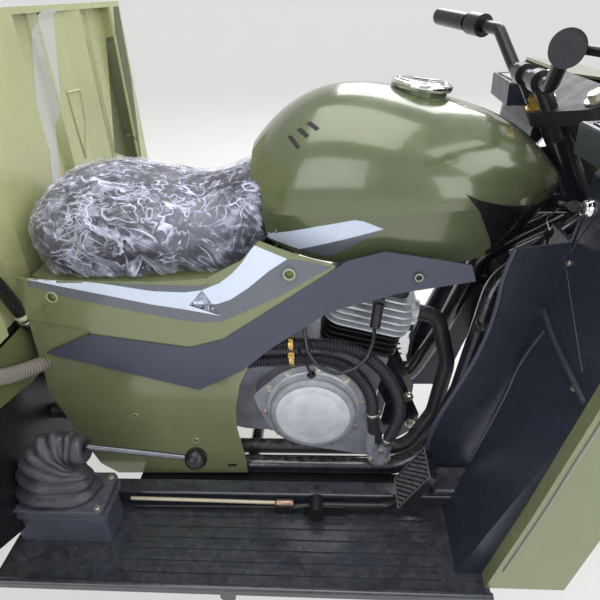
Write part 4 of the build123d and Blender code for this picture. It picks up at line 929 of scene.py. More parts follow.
@dataclass
class SeatBuild:
    """Upholstered seat, swelled as cloth, under its loose clear wrapping film."""

    voxel: float = 0.006
    shrink: float = 0.006
    pressure: float = 4.0
    frames: int = 20
    travel: float = 0.009
    film_lift: float = 0.0025
    film_crinkle: float = 0.005
    film_low: float = 0.698
    film_flare: float = 0.013
    flare_height: float = 0.03

    def build(self) -> None:
        """Build the pad and the film over it."""
        pad = self.build_pad()
        self.build_film(pad)

    def build_pad(self) -> bpy.types.Object:
        """Remesh the pad evenly, swell it as cloth and smooth it.

        Returns:
            The pad.
        """
        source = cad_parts["seat"]
        mesh = source.data.copy()
        mesh.transform(source.matrix_world)
        mesh.materials.clear()
        mesh.materials.append(material_of(VINYL))
        pad = put("seat_pad", mesh)
        even = pad.modifiers.new("even", "REMESH")
        even.mode = "VOXEL"
        even.voxel_size = self.voxel
        pad = settle(pad)
        soften = pad.modifiers.new("soften", "SMOOTH")
        soften.factor = 0.5
        soften.iterations = 4
        pad = settle(pad)
        for vert, normal in zip(pad.data.vertices, [v.normal.copy() for v in pad.data.vertices]):
            vert.co -= normal * self.shrink
        pad = self.swell(pad)
        fine = pad.modifiers.new("fine", "SUBSURF")
        fine.levels = 1
        pad = settle(pad)
        shade(pad.data)
        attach(pad, Body.FRAME.value)
        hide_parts("seat")
        return pad

    def swell(self, pad: bpy.types.Object) -> bpy.types.Object:
        """Let air pressure fill the pad's skin, within a cap on its travel.

        Args:
            pad: The even mesh.

        Returns:
            The swelled mesh.
        """
        start = [v.co.copy() for v in pad.data.vertices]
        cloth = pad.modifiers.new("cloth", "CLOTH")
        cloth.settings.use_pressure = True
        cloth.settings.uniform_pressure_force = self.pressure
        cloth.settings.effector_weights.gravity = 0.0
        cloth.point_cache.frame_start = 1
        cloth.point_cache.frame_end = self.frames
        scene = bpy.context.scene
        for step in range(1, self.frames + 1):
            scene.frame_set(step)
        pad = settle(pad)
        scene.frame_set(1)
        for vert, origin in zip(pad.data.vertices, start):
            move = vert.co - origin
            if move.length > self.travel:
                vert.co = origin + move.normalized() * self.travel
        return pad

    def build_film(self, pad: bpy.types.Object) -> None:
        """Lay the crinkled film over the pad's top and flanks.

        Args:
            pad: The finished pad.
        """
        skin = bmesh.new()
        skin.from_mesh(pad.data)
        hidden = [f for f in skin.faces if f.calc_center_median().z < self.film_low + 0.004 and f.normal.z < -0.5]
        bmesh.ops.delete(skin, geom=hidden, context="FACES")
        skin.normal_update()
        moves = []
        for vert in skin.verts:
            place = vert.co
            spot = place + noise.noise_vector(place * 7.0) * 0.02
            slanted = Vector((spot.x * 17 + spot.z * 15, spot.y * 19 - spot.x * 6, spot.z * 12 - spot.x * 10))
            near, cells = noise.voronoi(slanted)
            close, _ = noise.voronoi(slanted * 2.6)
            broad = noise.noise(spot * 9.0)
            height = (0.75 * max(0.0, 1.0 - (near[1] - near[0]) * 2.6) + 0.3 * broad
                      + 0.3 * max(0.0, 1.0 - (close[1] - close[0]) * 3.0)
                      + 0.35 * noise.noise(cells[0] * 5.3) * min(1.0, (near[1] - near[0]) * 4.0))
            flare = max(0.0, 1.0 - (place.z - self.film_low) / self.flare_height)
            lift = self.film_lift + self.film_crinkle * max(0.0, height + 0.1)
            outward = Vector((vert.normal.x, vert.normal.y, -0.35)) * self.film_flare * flare * (0.8 + broad)
            moves.append(vert.normal * lift + outward)
        for vert, move in zip(skin.verts, moves):
            vert.co += move
        mesh = bpy.data.meshes.new("seat_film")
        skin.to_mesh(mesh)
        skin.free()
        mesh.materials.clear()
        mesh.materials.append(material_of(FilmFinish()))
        film = put("seat_film", mesh)
        shade(mesh)
        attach(film, Body.FRAME.value)


@dataclass
class BodyTrim:
    """Stripes, screws, slots and vents in painted shade, the tank's dark chin and the cap's ring on the painted
    bodywork.
    """

    side_white: Outline = (
        (171, 714), (239, 706), (306, 697), (388, 682), (444, 679), (475, 683), (507, 696), (531, 714), (550, 734),
        (564, 753), (572, 763), (625, 738), (593, 717), (554, 685), (522, 664), (498, 656), (448, 654), (503, 632),
        (439, 646), (383, 656), (309, 674), (235, 691), (169, 707))
    side_grey: Outline = (
        (169, 707), (235, 691), (309, 674), (383, 656), (439, 646), (503, 632), (448, 654), (498, 656), (522, 664),
        (554, 685), (593, 717), (625, 738), (666, 732), (697, 722), (665, 704), (608, 670), (534, 635), (501, 621),
        (474, 619), (435, 623), (341, 645), (267, 663), (212, 679), (166, 696))
    side_top: Outline = (
        (307, 699), (360, 696), (420, 693), (465, 691), (492, 696), (475, 683), (444, 679), (388, 682))
    tank_white: Outline = (
        (572, 752), (673, 783), (735, 799), (750, 797), (782, 783), (641, 734))
    tank_grey: Outline = (
        (641, 734), (782, 783), (753, 762), (713, 735), (690, 724))
    tank_chin: Outline = (
        (905, 838), (928, 826), (954, 817), (981, 809), (1009, 802), (1041, 797.5), (1070, 803), (1070, 690),
        (975, 690), (958, 750), (930, 808))
    vents: tuple[Outline, ...] = (
        ((629, 918), (637, 920), (651, 906), (646, 902)),
        ((644, 928), (652, 931), (666, 922), (660, 918)),
        ((660, 937), (668, 940), (682, 932), (676, 928)))
    cover_screws: Outline = ((203, 672), (627, 712))
    dome_screw: Corner = (840, 705)
    panel_screws: Outline = ((300, 399), (413, 333))
    panel_slot: Corner = (480, 260)
    cap_centre: Point = (850, 0, 972.5)
    cap_slope: float = 9.0

    def build(self) -> None:
        """Trim both sides and the cap."""
        for side in Side:
            self.build_side(side)
        self.build_cap()

    def build_side(self, side: Side) -> None:
        """Lay the stripes and set the screws of one side.

        Args:
            side: The side.
        """
        tag = side.tag
        cover = node_surface(f"side_cover_{tag}")
        tank = node_surface("fuel_tank")
        decal(f"tank_chin_{tag}", self.tank_chin, tank, side, BOLT_BLACK, cell=5.0)
        for name, outline, surface, finish in (
                ("side_stripe_white", self.side_white, cover, STRIPE_WHITE),
                ("side_stripe_grey", self.side_grey, cover, STRIPE_GREY),
                ("side_stripe_top", self.side_top, cover, STRIPE_GREY),
                ("tank_stripe_white", self.tank_white, tank, STRIPE_WHITE),
                ("tank_stripe_grey", self.tank_grey, tank, STRIPE_GREY)):
            decal(f"{name}_{tag}", outline, surface, side, finish)
        # The vents are flat near-black decals, painted shade where the slots are.
        for place, outline in enumerate(self.vents):
            decal(f"tank_vent_{tag}_{place}", outline, tank, side, SLOT_SHADE, lift=0.3)
        for place, (x, z) in enumerate(self.cover_screws):
            self.build_screw(f"cover_screw_{tag}_{place}", x, z, cover, side, 11.5, SCREW_GREEN)
        dark = node_surface(f"frame_cover_{tag}")
        self.build_screw(f"dome_screw_{tag}", *self.dome_screw, dark, side, 7.5, BOLT_BLACK)
        lower = node_surface(f"lower_panel_{tag}")
        for place, (x, z) in enumerate(self.panel_screws):
            self.build_screw(f"panel_screw_{tag}_{place}", x, z, lower, side, 7.0, SCREW_GREEN)
        # The panel slot is a flat near-black decal, painted shade where the slot is.
        x, z = self.panel_slot
        decal(f"panel_slot_{tag}", [(x - 9, z - 4), (x + 9, z - 3), (x + 9, z + 4), (x - 9, z + 3)], lower, side,
              SLOT_SHADE, lift=0.3)

    def build_screw(self, name: str, x: float, z: float, surface: BVHTree, side: Side, radius: float,
                    finish: Finish) -> None:
        """Seat a domed screw in its cupped washer.

        Args:
            name: The piece's name.
            x: Its place along the trike in millimetres.
            z: Its height in millimetres.
            surface: The panel's surface.
            side: The side of the trike.
            radius: The washer's radius in millimetres.
            finish: The dome's finish.
        """
        hit, normal, _, _ = surface.ray_cast(Vector((x * MM, side.value * 0.6, z * MM)), Vector((0, -side.value, 0)))
        if normal.y * side.value < 0:
            normal = -normal
        share = radius * MM
        cup = [(0.62 * share, -0.001), (0.62 * share, 0.0006), (0.74 * share, 0.0013), (0.9 * share, 0.0014),
               (share, 0.0006), (share, -0.001)]
        mesh_piece(f"{name}_cup", *spun(cup, hit, normal, 32), finish=SCREW_RIM)
        dome = [(0.0, 0.0026), (0.2 * share, 0.0025), (0.38 * share, 0.0018), (0.5 * share, 0.0006),
                (0.6 * share, -0.0002), (0.6 * share, -0.001)]
        mesh_piece(f"{name}_dome", *spun(dome, hit, normal, 32), finish=finish)

    def build_cap(self) -> None:
        """Dress the filler cap with its bright ring, dark centre and key flap."""
        axis, across = leaning(math.radians(self.cap_slope))
        place = Vector(self.cap_centre) * MM
        ring = [(0.0515, -0.002), (0.0515, 0.006), (0.0495, 0.0085), (0.046, 0.0092), (0.0425, 0.0082),
                (0.041, 0.0068), (0.041, -0.002)]
        mesh_piece("cap_ring", *spun(ring, place, axis, 64), finish=CHROME)
        centre = [(0.0, 0.0118), (0.012, 0.0116), (0.03, 0.0108), (0.0365, 0.0102), (0.0395, 0.0086), (0.0395, 0.002)]
        mesh_piece("cap_centre", *spun(centre, place, axis, 64), finish=CAP_DARK)
        flap = [place + axis * 0.0114 + across * (0.004 + 0.021 * u) + Vector((0, 0.0085 * v, 0))
                for u, v in ((-1, -0.9), (0.2, -1), (1, -0.5), (1, 0.5), (0.2, 1), (-1, 0.9))]
        top = [p + axis * 0.0022 for p in flap]
        mesh_piece("cap_flap", flap + top, walls(6), CHROME, smooth=False, edge=0.0006)


@dataclass
class EngineDress:
    """The open engine: bright clutch cover, bolts, hoses, clamps and painted shade in the gaps between its fins."""

    centre: Corner = (655, 400)
    case_y: float = -148
    lean: float = 15.0
    case_circle: float = 97
    pump: Point = (786, -171, 290)
    foot: Point = (744, 0, 484)
    barrel_height: float = 62
    hose_radius: float = 10.5
    rib_pitch: float = 5.6
    outer_hose: Route = (
        (500, -141, 548), (560, -154, 560), (622, -161, 564), (690, -161, 562), (748, -161, 546), (796, -161, 496),
        (824, -161, 430), (822, -161, 372), (802, -161, 326))
    inner_hose: Route = (
        (500, -141, 512), (560, -154, 520), (619, -161, 529), (680, -161, 532), (726, -161, 512), (758, -161, 468),
        (772, -161, 424), (771, -161, 396))

    def build(self) -> None:
        """Dress the engine from the crankcase outward."""
        self.build_cover()
        self.build_bolts()
        self.build_fin_gaps()
        self.build_hoses()
        self.build_clamps()
        self.build_sensor()

    def build_cover(self) -> None:
        """Set the bright, slightly crowned clutch cover over its seat."""
        place = Vector((self.centre[0], self.case_y, self.centre[1])) * MM
        profile = [(0.0, 0.0262), (0.03, 0.0261), (0.052, 0.0258), (0.0555, 0.0248), (0.059, 0.0249), (0.07, 0.0244),
                   (0.079, 0.0226), (0.0845, 0.0186), (0.087, 0.0125), (0.0874, 0.004), (0.0895, 0.0026),
                   (0.0915, 0.001), (0.0915, -0.0005)]
        mesh_piece("clutch_cover", *spun(profile, place, Vector((0, -1, 0)), 96), finish=CAST)

    def build_bolts(self) -> None:
        """Set the flange bolts round the case, the pump and the head."""
        angles = [12, 47, 82, 118, 150, 186, 221, 255, 292, 330]
        for name, (x, y, z), circle, turns, radius in (
                ("case_bolts", (self.centre[0], self.case_y, self.centre[1]), self.case_circle, angles, 4.6),
                ("pump_bolts", self.pump, 18, (80, 200, 320), 4.2)):
            ring = [(x + circle * math.cos(math.radians(a)), y, z + circle * math.sin(math.radians(a))) for a in turns]
            bolts(name, ring, (0, -1, 0), radius, 5.0, ZINC)
        axis, across = leaning(math.radians(self.lean))
        top = Vector(self.foot) + axis * (self.barrel_height + 120)
        places = [tuple(top + across * u + Vector((0, v, 0))) for u in (-44, 44) for v in (-38, 38)]
        bolts("head_nuts", places, tuple(axis), 7.5, 9.0, ZINC)
        mount = [(854, -53, 350), (800, -53, 225), (862, -53, 275)]
        bolts("mount_bolts", mount, (0, -1, 0), 8.0, 7.0, ZINC)
        bolts("rear_mount_bolt", [(383, -157, 440)], (0, -1, 0), 9.0, 8.0, ZINC)

    def build_fin_gaps(self) -> None:
        """Line the gaps between the head's fins with a dark core, whose colour is painted shade."""
        axis, across = leaning(math.radians(self.lean))
        start = Vector(self.foot) + axis * (self.barrel_height + 0.6)
        half_x, half_y, corner = 65.0, 71.0, 24.0
        ring = []
        for quarter, (sx, sy) in enumerate(((1, 1), (-1, 1), (-1, -1), (1, -1))):
            for step in range(7):
                angle = math.radians(90 * quarter + 15 * step)
                ring.append((sx * (half_x - corner) + corner * math.cos(angle),
                             sy * (half_y - corner) + corner * math.sin(angle)))
        points = [(start + axis * h + across * u + Vector((0, v, 0))) * MM for h in (0.0, 103.0) for u, v in ring]
        mesh_piece("fin_shadow", points, walls(len(ring)), FIN_GAP_SHADE, smooth=False)

    def build_hoses(self) -> None:
        """Run the two corrugated hoses and the smooth hose end."""
        for name, points in (("hose_outer", self.outer_hose), ("hose_inner", self.inner_hose)):
            piece = corrugated(name, points, self.hose_radius, self.rib_pitch, HOSE_BLACK, 0.19)
            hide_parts("coolant_hoses")
        tube_piece("hose_end_inner", [(771, -161, 404), (772, -161, 384), (775, -161, 356), (780, -161, 330)], 12.5,
                   HOSE_BLACK, 6)

    def build_clamps(self) -> None:
        """Wrap the clamp bands round the hoses and link the two upper ones."""
        for name, place, axis, radius, width, finish in (
                ("clamp_upper", (621, -161, 564), (1, 0, 0.02), 13.2, 9.0, BRASS),
                ("clamp_lower", (621, -161, 529), (1, 0, 0.06), 13.2, 9.0, BRASS),
                ("clamp_hose_end", (771, -161, 399), (0.02, 0, -1), 14.4, 8.0, STEEL),
                ("clamp_pump_outer", (803, -161, 330), (-0.25, 0, -1), 13.6, 8.0, STEEL)):
            half, inner, outer = width / 2 * MM, (radius - 1.2) * MM, radius * MM
            profile = [(inner, -half), (outer - 0.0003, -half), (outer, -half + 0.0004), (outer, half - 0.0004),
                       (outer - 0.0003, half), (inner, half)]
            mesh_piece(name, *spun(profile, Vector(place) * MM, Vector(axis), 40), finish=finish)
        prism("clamp_link", rectangle((616, 540), (627, 553)), 1, -176, -173.4, BRASS)
        bolts("clamp_screw", [(621, -176, 546.5)], (0, -1, 0), 4.0, 4.0, BRASS)

    def build_sensor(self) -> None:
        """Set the gear sensor with its blue collar and lead on top of the case."""
        place = Vector((655, -150, 478)) * MM
        axis = Vector((0, -0.55, 0.83))
        body = [(0.0, 0.016), (0.006, 0.0155), (0.0085, 0.012), (0.009, 0.002), (0.009, -0.004)]
        mesh_piece("sensor_body", *spun(body, place, axis, 28), finish=BOLT_BLACK)
        collar = [(0.009, 0.0), (0.0112, 0.0008), (0.0116, 0.003), (0.011, 0.0052), (0.009, 0.006)]
        mesh_piece("sensor_collar", *spun(collar, place, axis, 28), finish=BLUE_PLASTIC)
        tube_piece("sensor_lead", [(655, -157, 489), (652, -166, 506), (642, -150, 522), (628, -132, 536),
                                   (610, -120, 570), (600, -110, 600)], 2.6, RUBBER, 3)


@dataclass
class RiderControls:
    """Gaiter on its box, lever knob, brake pad's pattern, the brake's pull rod and the foot trays."""

    box_centre: Corner = (178, -292)
    box_top: float = 300
    collar: Point = (252, -292, 428)
    pleats: int = 7
    cap_height: float = 16
    knob: Point = (452, -292, 407)
    pedal_y: float = -253
    pad_centre: Corner = (852, 316)
    pad_tilt: float = 58.0
    board_top: float = 223

    def build(self) -> None:
        """Build the controls at the rider's right hand and foot."""
        self.build_gaiter()
        self.build_knob()
        self.build_pad()
        self.build_rod()

    def build_gaiter(self) -> None:
        """Build the pleated rubber boot from its box up to the collar."""
        rows, steps = 112, 72
        points = []
        x, y = self.box_centre
        foot = self.box_top + self.cap_height - 1
        path = [Vector((x - 6, 0, foot)), Vector((x + 6, 0, foot + 130)),
                Vector((self.collar[0] - 14, 0, self.collar[2]))]
        for row in range(rows + 1):
            share = row / rows
            back = 1 - share
            centre = path[0] * back * back + path[1] * 2 * share * back + path[2] * share * share
            along = ((path[1] - path[0]) * back + (path[2] - path[1]) * share).normalized()
            inward = Vector((along.z, 0, -along.x))
            wave = math.sin(2 * math.pi * self.pleats * share - 0.8)
            pleat = 6.2 * (1 - 0.45 * share) * (abs(wave) ** 0.6) * (1 if wave > 0 else -1)
            long_half = 78 - 56 * share ** 0.9
            short_half = 40 - 19 * share
            for step in range(steps):
                angle = 2 * math.pi * step / steps
                sag = 2.2 * math.sin(3 * angle + 6 * share) + 1.6 * math.sin(5 * angle - 11 * share)
                swell = pleat * (1.0 - 0.25 * math.cos(angle)) + sag * (1 - 0.5 * share)
                corner = 1.0 + 0.09 * back ** 3 * abs(math.sin(2 * angle))
                spot = centre + inward * (long_half * corner + swell) * math.cos(angle)
                spot.y = y + (short_half * corner + swell) * math.sin(angle)
                spot.z = max(spot.z, foot)
                points.append(spot * MM)
        faces = tiles(rows, steps)
        faces += [tuple(range(steps - 1, -1, -1)), tuple(rows * steps + step for step in range(steps))]
        boot = mesh_piece("lever_boot", points, faces, GAITER_RUBBER)
        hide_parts("lever_gaiter")
        axis = Vector((0.85, 0, 0.12))
        start = Vector(self.collar) * MM - Vector((0.012, 0, 0.002))
        collar = [(0.0, -0.012), (0.02, -0.012), (0.0245, -0.007), (0.0262, 0.002), (0.025, 0.011), (0.021, 0.0155),
                  (0.014, 0.0165), (0.0105, 0.012), (0.0, 0.012)]
        mesh_piece("lever_collar", *spun(collar, start, axis, 40), finish=GAITER_RUBBER)
        top = self.box_top + self.cap_height
        for name, grow, low, high in (("lever_box_cap", 0, self.box_top - 1, top - 5),
                                      ("lever_box_rim", 3, top - 5, top)):
            long, short = 93 + grow, 45 + grow
            corners = [(x + a * long - a * c, y + b * short - b * d) for a, b, c, d in (
                (-1, -1, 0, 9), (-1, -1, 9, 0), (1, -1, 9, 0), (1, -1, 0, 9), (1, 1, 0, 9), (1, 1, 9, 0), (-1, 1, 9, 0),
                (-1, 1, 0, 9))]
            prism(name, corners, 2, low, high, BOX_GREY, 0.0015)
        rim = [(x + a * 84, y + b * 36, top) for a in (-1, 1) for b in (-1, 1)]
        bolts("lever_box_screws", rim, (0, 0, 1), 4.6, 3.0, ZINC, 16)

    def build_knob(self) -> None:
        """Set the plain black knob on the lever."""
        ball = [(20.2 * math.sin(math.radians(a)) * MM, -20.2 * math.cos(math.radians(a)) * MM)
                for a in range(0, 181, 9)]
        mesh_piece("lever_knob", *spun(ball, Vector(self.knob) * MM, Vector((1, 0, 0)), 40), finish=BOLT_BLACK)

    def build_pad(self) -> None:
        """Raise the crossed pattern on the brake pad's rubber."""
        tilt = math.radians(self.pad_tilt)
        normal = Vector((-math.sin(tilt), 0, math.cos(tilt)))
        along = Vector((math.cos(tilt), 0, math.sin(tilt)))
        across = Vector((0, 1, 0))
        centre = Vector((self.pad_centre[0], self.pedal_y, self.pad_centre[1])) + normal * 14
        points, faces = [], []
        for row in range(-8, 9):
            for column in range(-6, 7):
                u, v = column * 5.6, row * 5.8
                if (row + column) % 2 or abs(u) > 33 or abs(v) > 47:
                    continue
                spot = centre + across * u + along * v
                corners = [(4.0, 0), (0, 4.0), (-4.0, 0), (0, -4.0)]
                low = [(spot + across * a + along * b - normal * 0.4) * MM for a, b in corners]
                high = [(spot + (across * a + along * b) * 0.72 + normal * 1.8) * MM for a, b in corners]
                faces += [tuple(i + len(points) for i in face) for face in walls(4)]
                points += low + high
        mesh_piece("pedal_pattern", points, faces, PAD_RUBBER, smooth=False)
        ring = [tuple(centre + across * u + along * v + normal * 0.6) for u, v in
                ((-35, -49), (35, -49), (35, 49), (-35, 49), (-35, -49))]
        tube_piece("pedal_edge", cornered(ring), 1.6, PAD_RUBBER, 3)

    def build_rod(self) -> None:
        """Run the cream pull rod from its copper clevis, and set the pedal's bracket and the foot trays."""
        y, z = self.pedal_y, self.board_top
        tube_piece("brake_rod", [(600, y, z + 24.7), (500, y, z + 26.6), (400, y, z + 28.4), (288, y, z + 30)], 3.8,
                   CREAM_ROD, 5)
        clevis = [(0.0, -0.018), (0.0065, -0.018), (0.0078, -0.015), (0.0078, 0.015), (0.0062, 0.019), (0.0, 0.019)]
        mesh_piece("brake_clevis", *spun(clevis, Vector((598, y, z + 24.6)) * MM, Vector((-1, 0, 0.02)), 24),
                   finish=COPPER)
        prism("pedal_bracket", rectangle((635, z + 1), (716, z + 30)), 1, y - 12, y - 9.4, BOLT_BLACK, 0.001)
        for side in Side:
            low, high = sorted((side.value * 152, side.value * 228))
            prism(f"foot_tray_{side.tag}", rectangle((275, low), (885, high)), 2, 219, 222, BOLT_BLACK)
        bolts("pedal_nut", [(660, y - 12, z + 20)], (0, -1, 0), 8.5, 8.0, ZINC)


@dataclass(frozen=True)
class Tyre:
    """Size and place of one treaded tyre."""

    node: str
    body: Body
    centre: Corner
    axle: float = 290
    crown: float = 283
    shoulder: float = 30
    shoulder_tip: float = 0.16
    width: float = 135
    block_rows: Outline = ((-43, 18), (-14, -16), (14, 16), (43, -18))
    pitch: int = 52
    steps: int = 96

    def build(self) -> None:
        """Build the carcass and set its tread blocks."""
        x, y = self.centre
        half = self.width / 2
        section = [(170, -0.37), (180, -0.43), (200, -0.48), (228, -0.5), (254, -0.49), (270, -0.455), (278, -0.4),
                   (281.5, -0.3), (283, -0.15), (283.4, 0.0)]
        section += [(r, -s) for r, s in reversed(section[:-1])]
        ring = [(r * MM, 2 * half * s * MM) for r, s in section]
        ring += [(169 * MM, half * 0.7 * MM), (169 * MM, -half * 0.7 * MM)]
        place = Vector((x, y, self.axle)) * MM
        steps, last = self.steps, len(ring) - 1
        points, _ = spun(ring, place, Vector((0, 1, 0)), steps)
        faces = tiles(last, steps)
        faces += [(last * steps + s, last * steps + (s + 1) % steps, (s + 1) % steps, s) for s in range(steps)]
        carcass = mesh_piece(f"{self.node}_carcass", points, faces, TreadFinish(), self.body)
        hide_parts(self.node)
        spots, turns = [], []
        for row, (offset, slant) in enumerate(self.block_rows):
            for step in range(self.pitch):
                angle = 2 * math.pi * (step + 0.5 * (row % 2)) / self.pitch
                radial = Vector((math.cos(angle), 0, math.sin(angle)))
                radius = self.crown - (2.2 if abs(offset) < self.shoulder else 3.6)
                spots.append(place + (radial * (radius + 2.0) + Vector((0, offset, 0))) * MM)
                tangent = Vector((-math.sin(angle), 0, math.cos(angle)))
                axial = Vector((0, 1, 0))
                turn = math.radians(slant)
                local_x = axial * math.cos(turn) + tangent * math.sin(turn)
                lean = math.copysign(self.shoulder_tip, offset) if abs(offset) > self.shoulder else 0.0
                tip = Matrix.Rotation(-lean, 3, tangent)
                local_x = tip @ local_x
                local_z = tip @ radial
                local_y = local_z.cross(local_x).normalized()
                turns.append(Vector(Matrix((local_x, local_y, local_z)).transposed().to_euler("XYZ")))
        base = dotted(f"{self.node}_tread", spots, "turn", turns)
        tread = TREADS.make(base, TreadFinish(), self.body, {"Block Length": 0.026, "Block Width": 0.019,
                                                             "Block Height": 0.0085})


@dataclass
class Wheels:
    """The three treaded tyres on their wheels."""

    tyres: tuple[Tyre, ...] = (
        Tyre("front_tyre", Body.FRONT_WHEEL, (1450, 0)), Tyre("right_tyre", Body.RIGHT_WHEEL, (-900, -520)),
        Tyre("left_tyre", Body.LEFT_WHEEL, (-900, 520)))

    def build(self) -> None:
        """Build every tyre."""
        for tyre in self.tyres:
            tyre.build()


@dataclass
class ConsoleTrim:
    """Ignition lock with its keys, lid seams and screws, blank dash labels, leg shields and the stem's nuts."""

    seam: Outline = ((-200, 826), (-176, 775), (-161, 728), (-163, 716), (-182, 706), (-286, 650), (-330, 628))
    face: Outline = ((908, 223.3), (1040, 560), (1070, 690), (1086, 800), (1092, 862), (1114, 901.7))
    stem_top: Point = (1055.8, 0, 925)

    def build(self) -> None:
        """Build every detail on the console and the dash."""
        self.build_lock()
        self.build_seams()
        self.build_dash()
        self.build_nut()
        self.build_shields()

    def face_x(self, z: float) -> float:
        """Give the console's rear surface at a height, in millimetres."""
        return float(np.interp(z, [row[1] for row in self.face], [row[0] for row in self.face]))

    def build_lock(self) -> None:
        """Set the ringed lock, its key and the spare key on its ring."""
        place = Vector((self.face_x(815), -172, 815)) * MM
        axis = Vector((-1, -0.1, 0.16))
        base = [(0.0, 0.012), (0.0105, 0.012), (0.0125, 0.0095), (0.0125, 0.0075), (0.0148, 0.006), (0.0162, 0.003),
                (0.0165, -0.001)]
        mesh_piece("lock_ring", *spun(base, place, axis, 40), finish=CHROME)
        core = [(0.0, 0.0145), (0.0075, 0.0143), (0.009, 0.0125), (0.009, 0.006)]
        mesh_piece("lock_core", *spun(core, place, axis, 32), finish=CAP_DARK)
        tip = place + axis.normalized() * 0.014
        self.build_key("key_in_lock", tip, Vector((-0.9, 0.15, 0.2)), 0.0, 0.034)
        loop = [(tip.x / MM - 30, -166, 814), (tip.x / MM - 34, -156, 802), (tip.x / MM - 34, -140, 790),
                (tip.x / MM - 30, -134, 778), (tip.x / MM - 28, -146, 770)]
        tube_piece("key_ring", loop, 1.1, STEEL, 3)
        self.build_key("key_spare", Vector((tip.x - 0.028, -0.142, 0.772)), Vector((0.05, 0.12, -1)), 0.5, 0.052)

    def build_key(self, name: str, place: Vector, way: Vector, twist: float, length: float) -> None:
        """Cut a flat key with a rounded bow.

        Args:
            name: The piece's name.
            place: Where its bow begins.
            way: The direction of its blade.
            twist: Turn about that direction, in radians.
            length: The blade's length in metres.
        """
        way = way.normalized()
        flat = way.orthogonal().normalized()
        flat = Matrix.Rotation(twist, 3, way) @ flat
        thick = way.cross(flat).normalized() * 0.0009
        outline = [(0.0, -0.004), (0.003, -0.0085), (0.012, -0.0095), (0.018, -0.006), (0.02, -0.0032),
                   (length, -0.0028), (length + 0.002, 0.0), (length, 0.0022), (0.02, 0.0032), (0.018, 0.006),
                   (0.012, 0.0095), (0.003, 0.0085), (0.0, 0.004)]
        points = [place + way * u + flat * v + level for level in (-thick, thick) for u, v in outline]
        mesh_piece(name, points, walls(len(outline)), STEEL, smooth=False)

    def build_seams(self) -> None:
        """Lay the lid's seam and the moulding's rolled edges on both sides, in a lighter grey that is painted
        highlight.
        """
        for side in Side:
            tag = side.tag
            line = [(self.face_x(z) - 0.2, -side.value * y, z) for y, z in self.seam]
            tube_piece(f"lid_seam_{tag}", cornered(line), 1.3, EDGE_HIGHLIGHT, 2)
            screws = [(self.face_x(z) - 1, side.value * y, z) for y, z in ((172, 724), (330, 600))]
            bolts(f"lid_screws_{tag}", screws, (-1, 0, 0.2), 4.0, 2.4, ZINC, 14)
            edge = [(self.face_x(z) - 1.5, side.value * (161 + (640 - z) / 80 * 4.0 if z < 640 else 151), z)
                    for z in (740, 690, 646)]
            tube_piece(f"tunnel_edge_{tag}", edge, 2.4, CONSOLE_BLACK, 3)
            # The panel edge and panel roll tubes are lines of painted highlight on the console.
            for part, line, radius in (
                    ("panel_edge", ((1052, 190, 609), (1029, 168, 531), (1004, 200, 466), (952, 220, 337)), 3.2),
                    ("panel_roll", ((1056, 154, 634), (1053, 200, 622), (1050, 280, 612), (1048, 370, 606)), 5.0)):
                tube_piece(f"{part}_{tag}", [(x, side.value * y, z) for x, y, z in line], radius, EDGE_HIGHLIGHT, 4)

    def build_dash(self) -> None:
        """Fit a blank framed label on each side of the dash."""
        for side in Side:
            tag = side.tag
            middle = side.value * 250
            label = rectangle((1058, middle - 48), (1112, middle + 48))
            prism(f"dash_label_{tag}", label, 2, 945.5, 947.2, LABEL_GREY, 0.0006)
            corners = rectangle((1055, middle - 51), (1115, middle + 51))
            ring = [(x, y, 947.0) for x, y in (*corners, corners[0])]
            tube_piece(f"dash_label_edge_{tag}", cornered(ring), 1.4, BOLT_BLACK, 2)

    def build_shields(self) -> None:
        """Close the sides of the steering well and of the tube tunnel, and set the heel steps and edge seals."""
        well = [(1030, 520), (1200, 520), (1222, 620), (1222, 940), (1104, 940), (1100, 880), (1084, 800), (1042, 560)]
        cheek = [(992, 748), (978, 700), (978, 640), (960, 548), (924, 458), (888, 370), (880, 290), (890, 212),
                 (975, 212), (1010, 330), (1060, 480), (1096, 640), (1096, 760)]
        edge = [(1102, 900), (1092, 820), (1078, 740), (1062, 660), (1044, 580), (1024, 500), (1006, 420), (984, 340),
                (965, 270)]
        seal = [(x + 12, z) for x, z in edge]
        for side in Side:
            tag, turn = side.tag, side.value
            prism(f"well_wall_{tag}", well, 1, turn * 158, turn * 161.5, CONSOLE_BLACK)
            prism(f"tunnel_cheek_{tag}", cheek, 1, turn * 162, turn * 165, CONSOLE_BLACK)
            rim = [(x, turn * 163.5, z) for x, z in cheek[:8]]
            tube_piece(f"cheek_rim_{tag}", rim, 4.2, DARK_COVER, 4)
            step = [(884, turn * 166), (884, turn * 236), (962, turn * 236), (975, turn * 166)]
            prism(f"heel_step_{tag}", step, 2, 222, 266, CONSOLE_BLACK, 0.008)
            tube_piece(f"fairing_seal_{tag}", [(x, turn * 401, z) for x, z in seal], 2.4, SEAL_GREY, 4)

    def build_nut(self) -> None:
        """Set the yellow nut and its washer on the stem and the smaller nuts on the fork legs."""
        axis, _ = leaning(-RAKE)
        top = Vector(self.stem_top) + axis * 14.5
        bolts("stem_nut", [tuple(top)], tuple(axis), 17.0, 15.0, BRASS, body=Body.STEERING)
        legs = [tuple(Vector((self.stem_top[0] + 44.1, side * 108, 948.5)) + axis * 15.5) for side in (-1, 1)]
        bolts("leg_caps", legs, tuple(axis), 13.0, 9.0, ZINC, body=Body.STEERING)


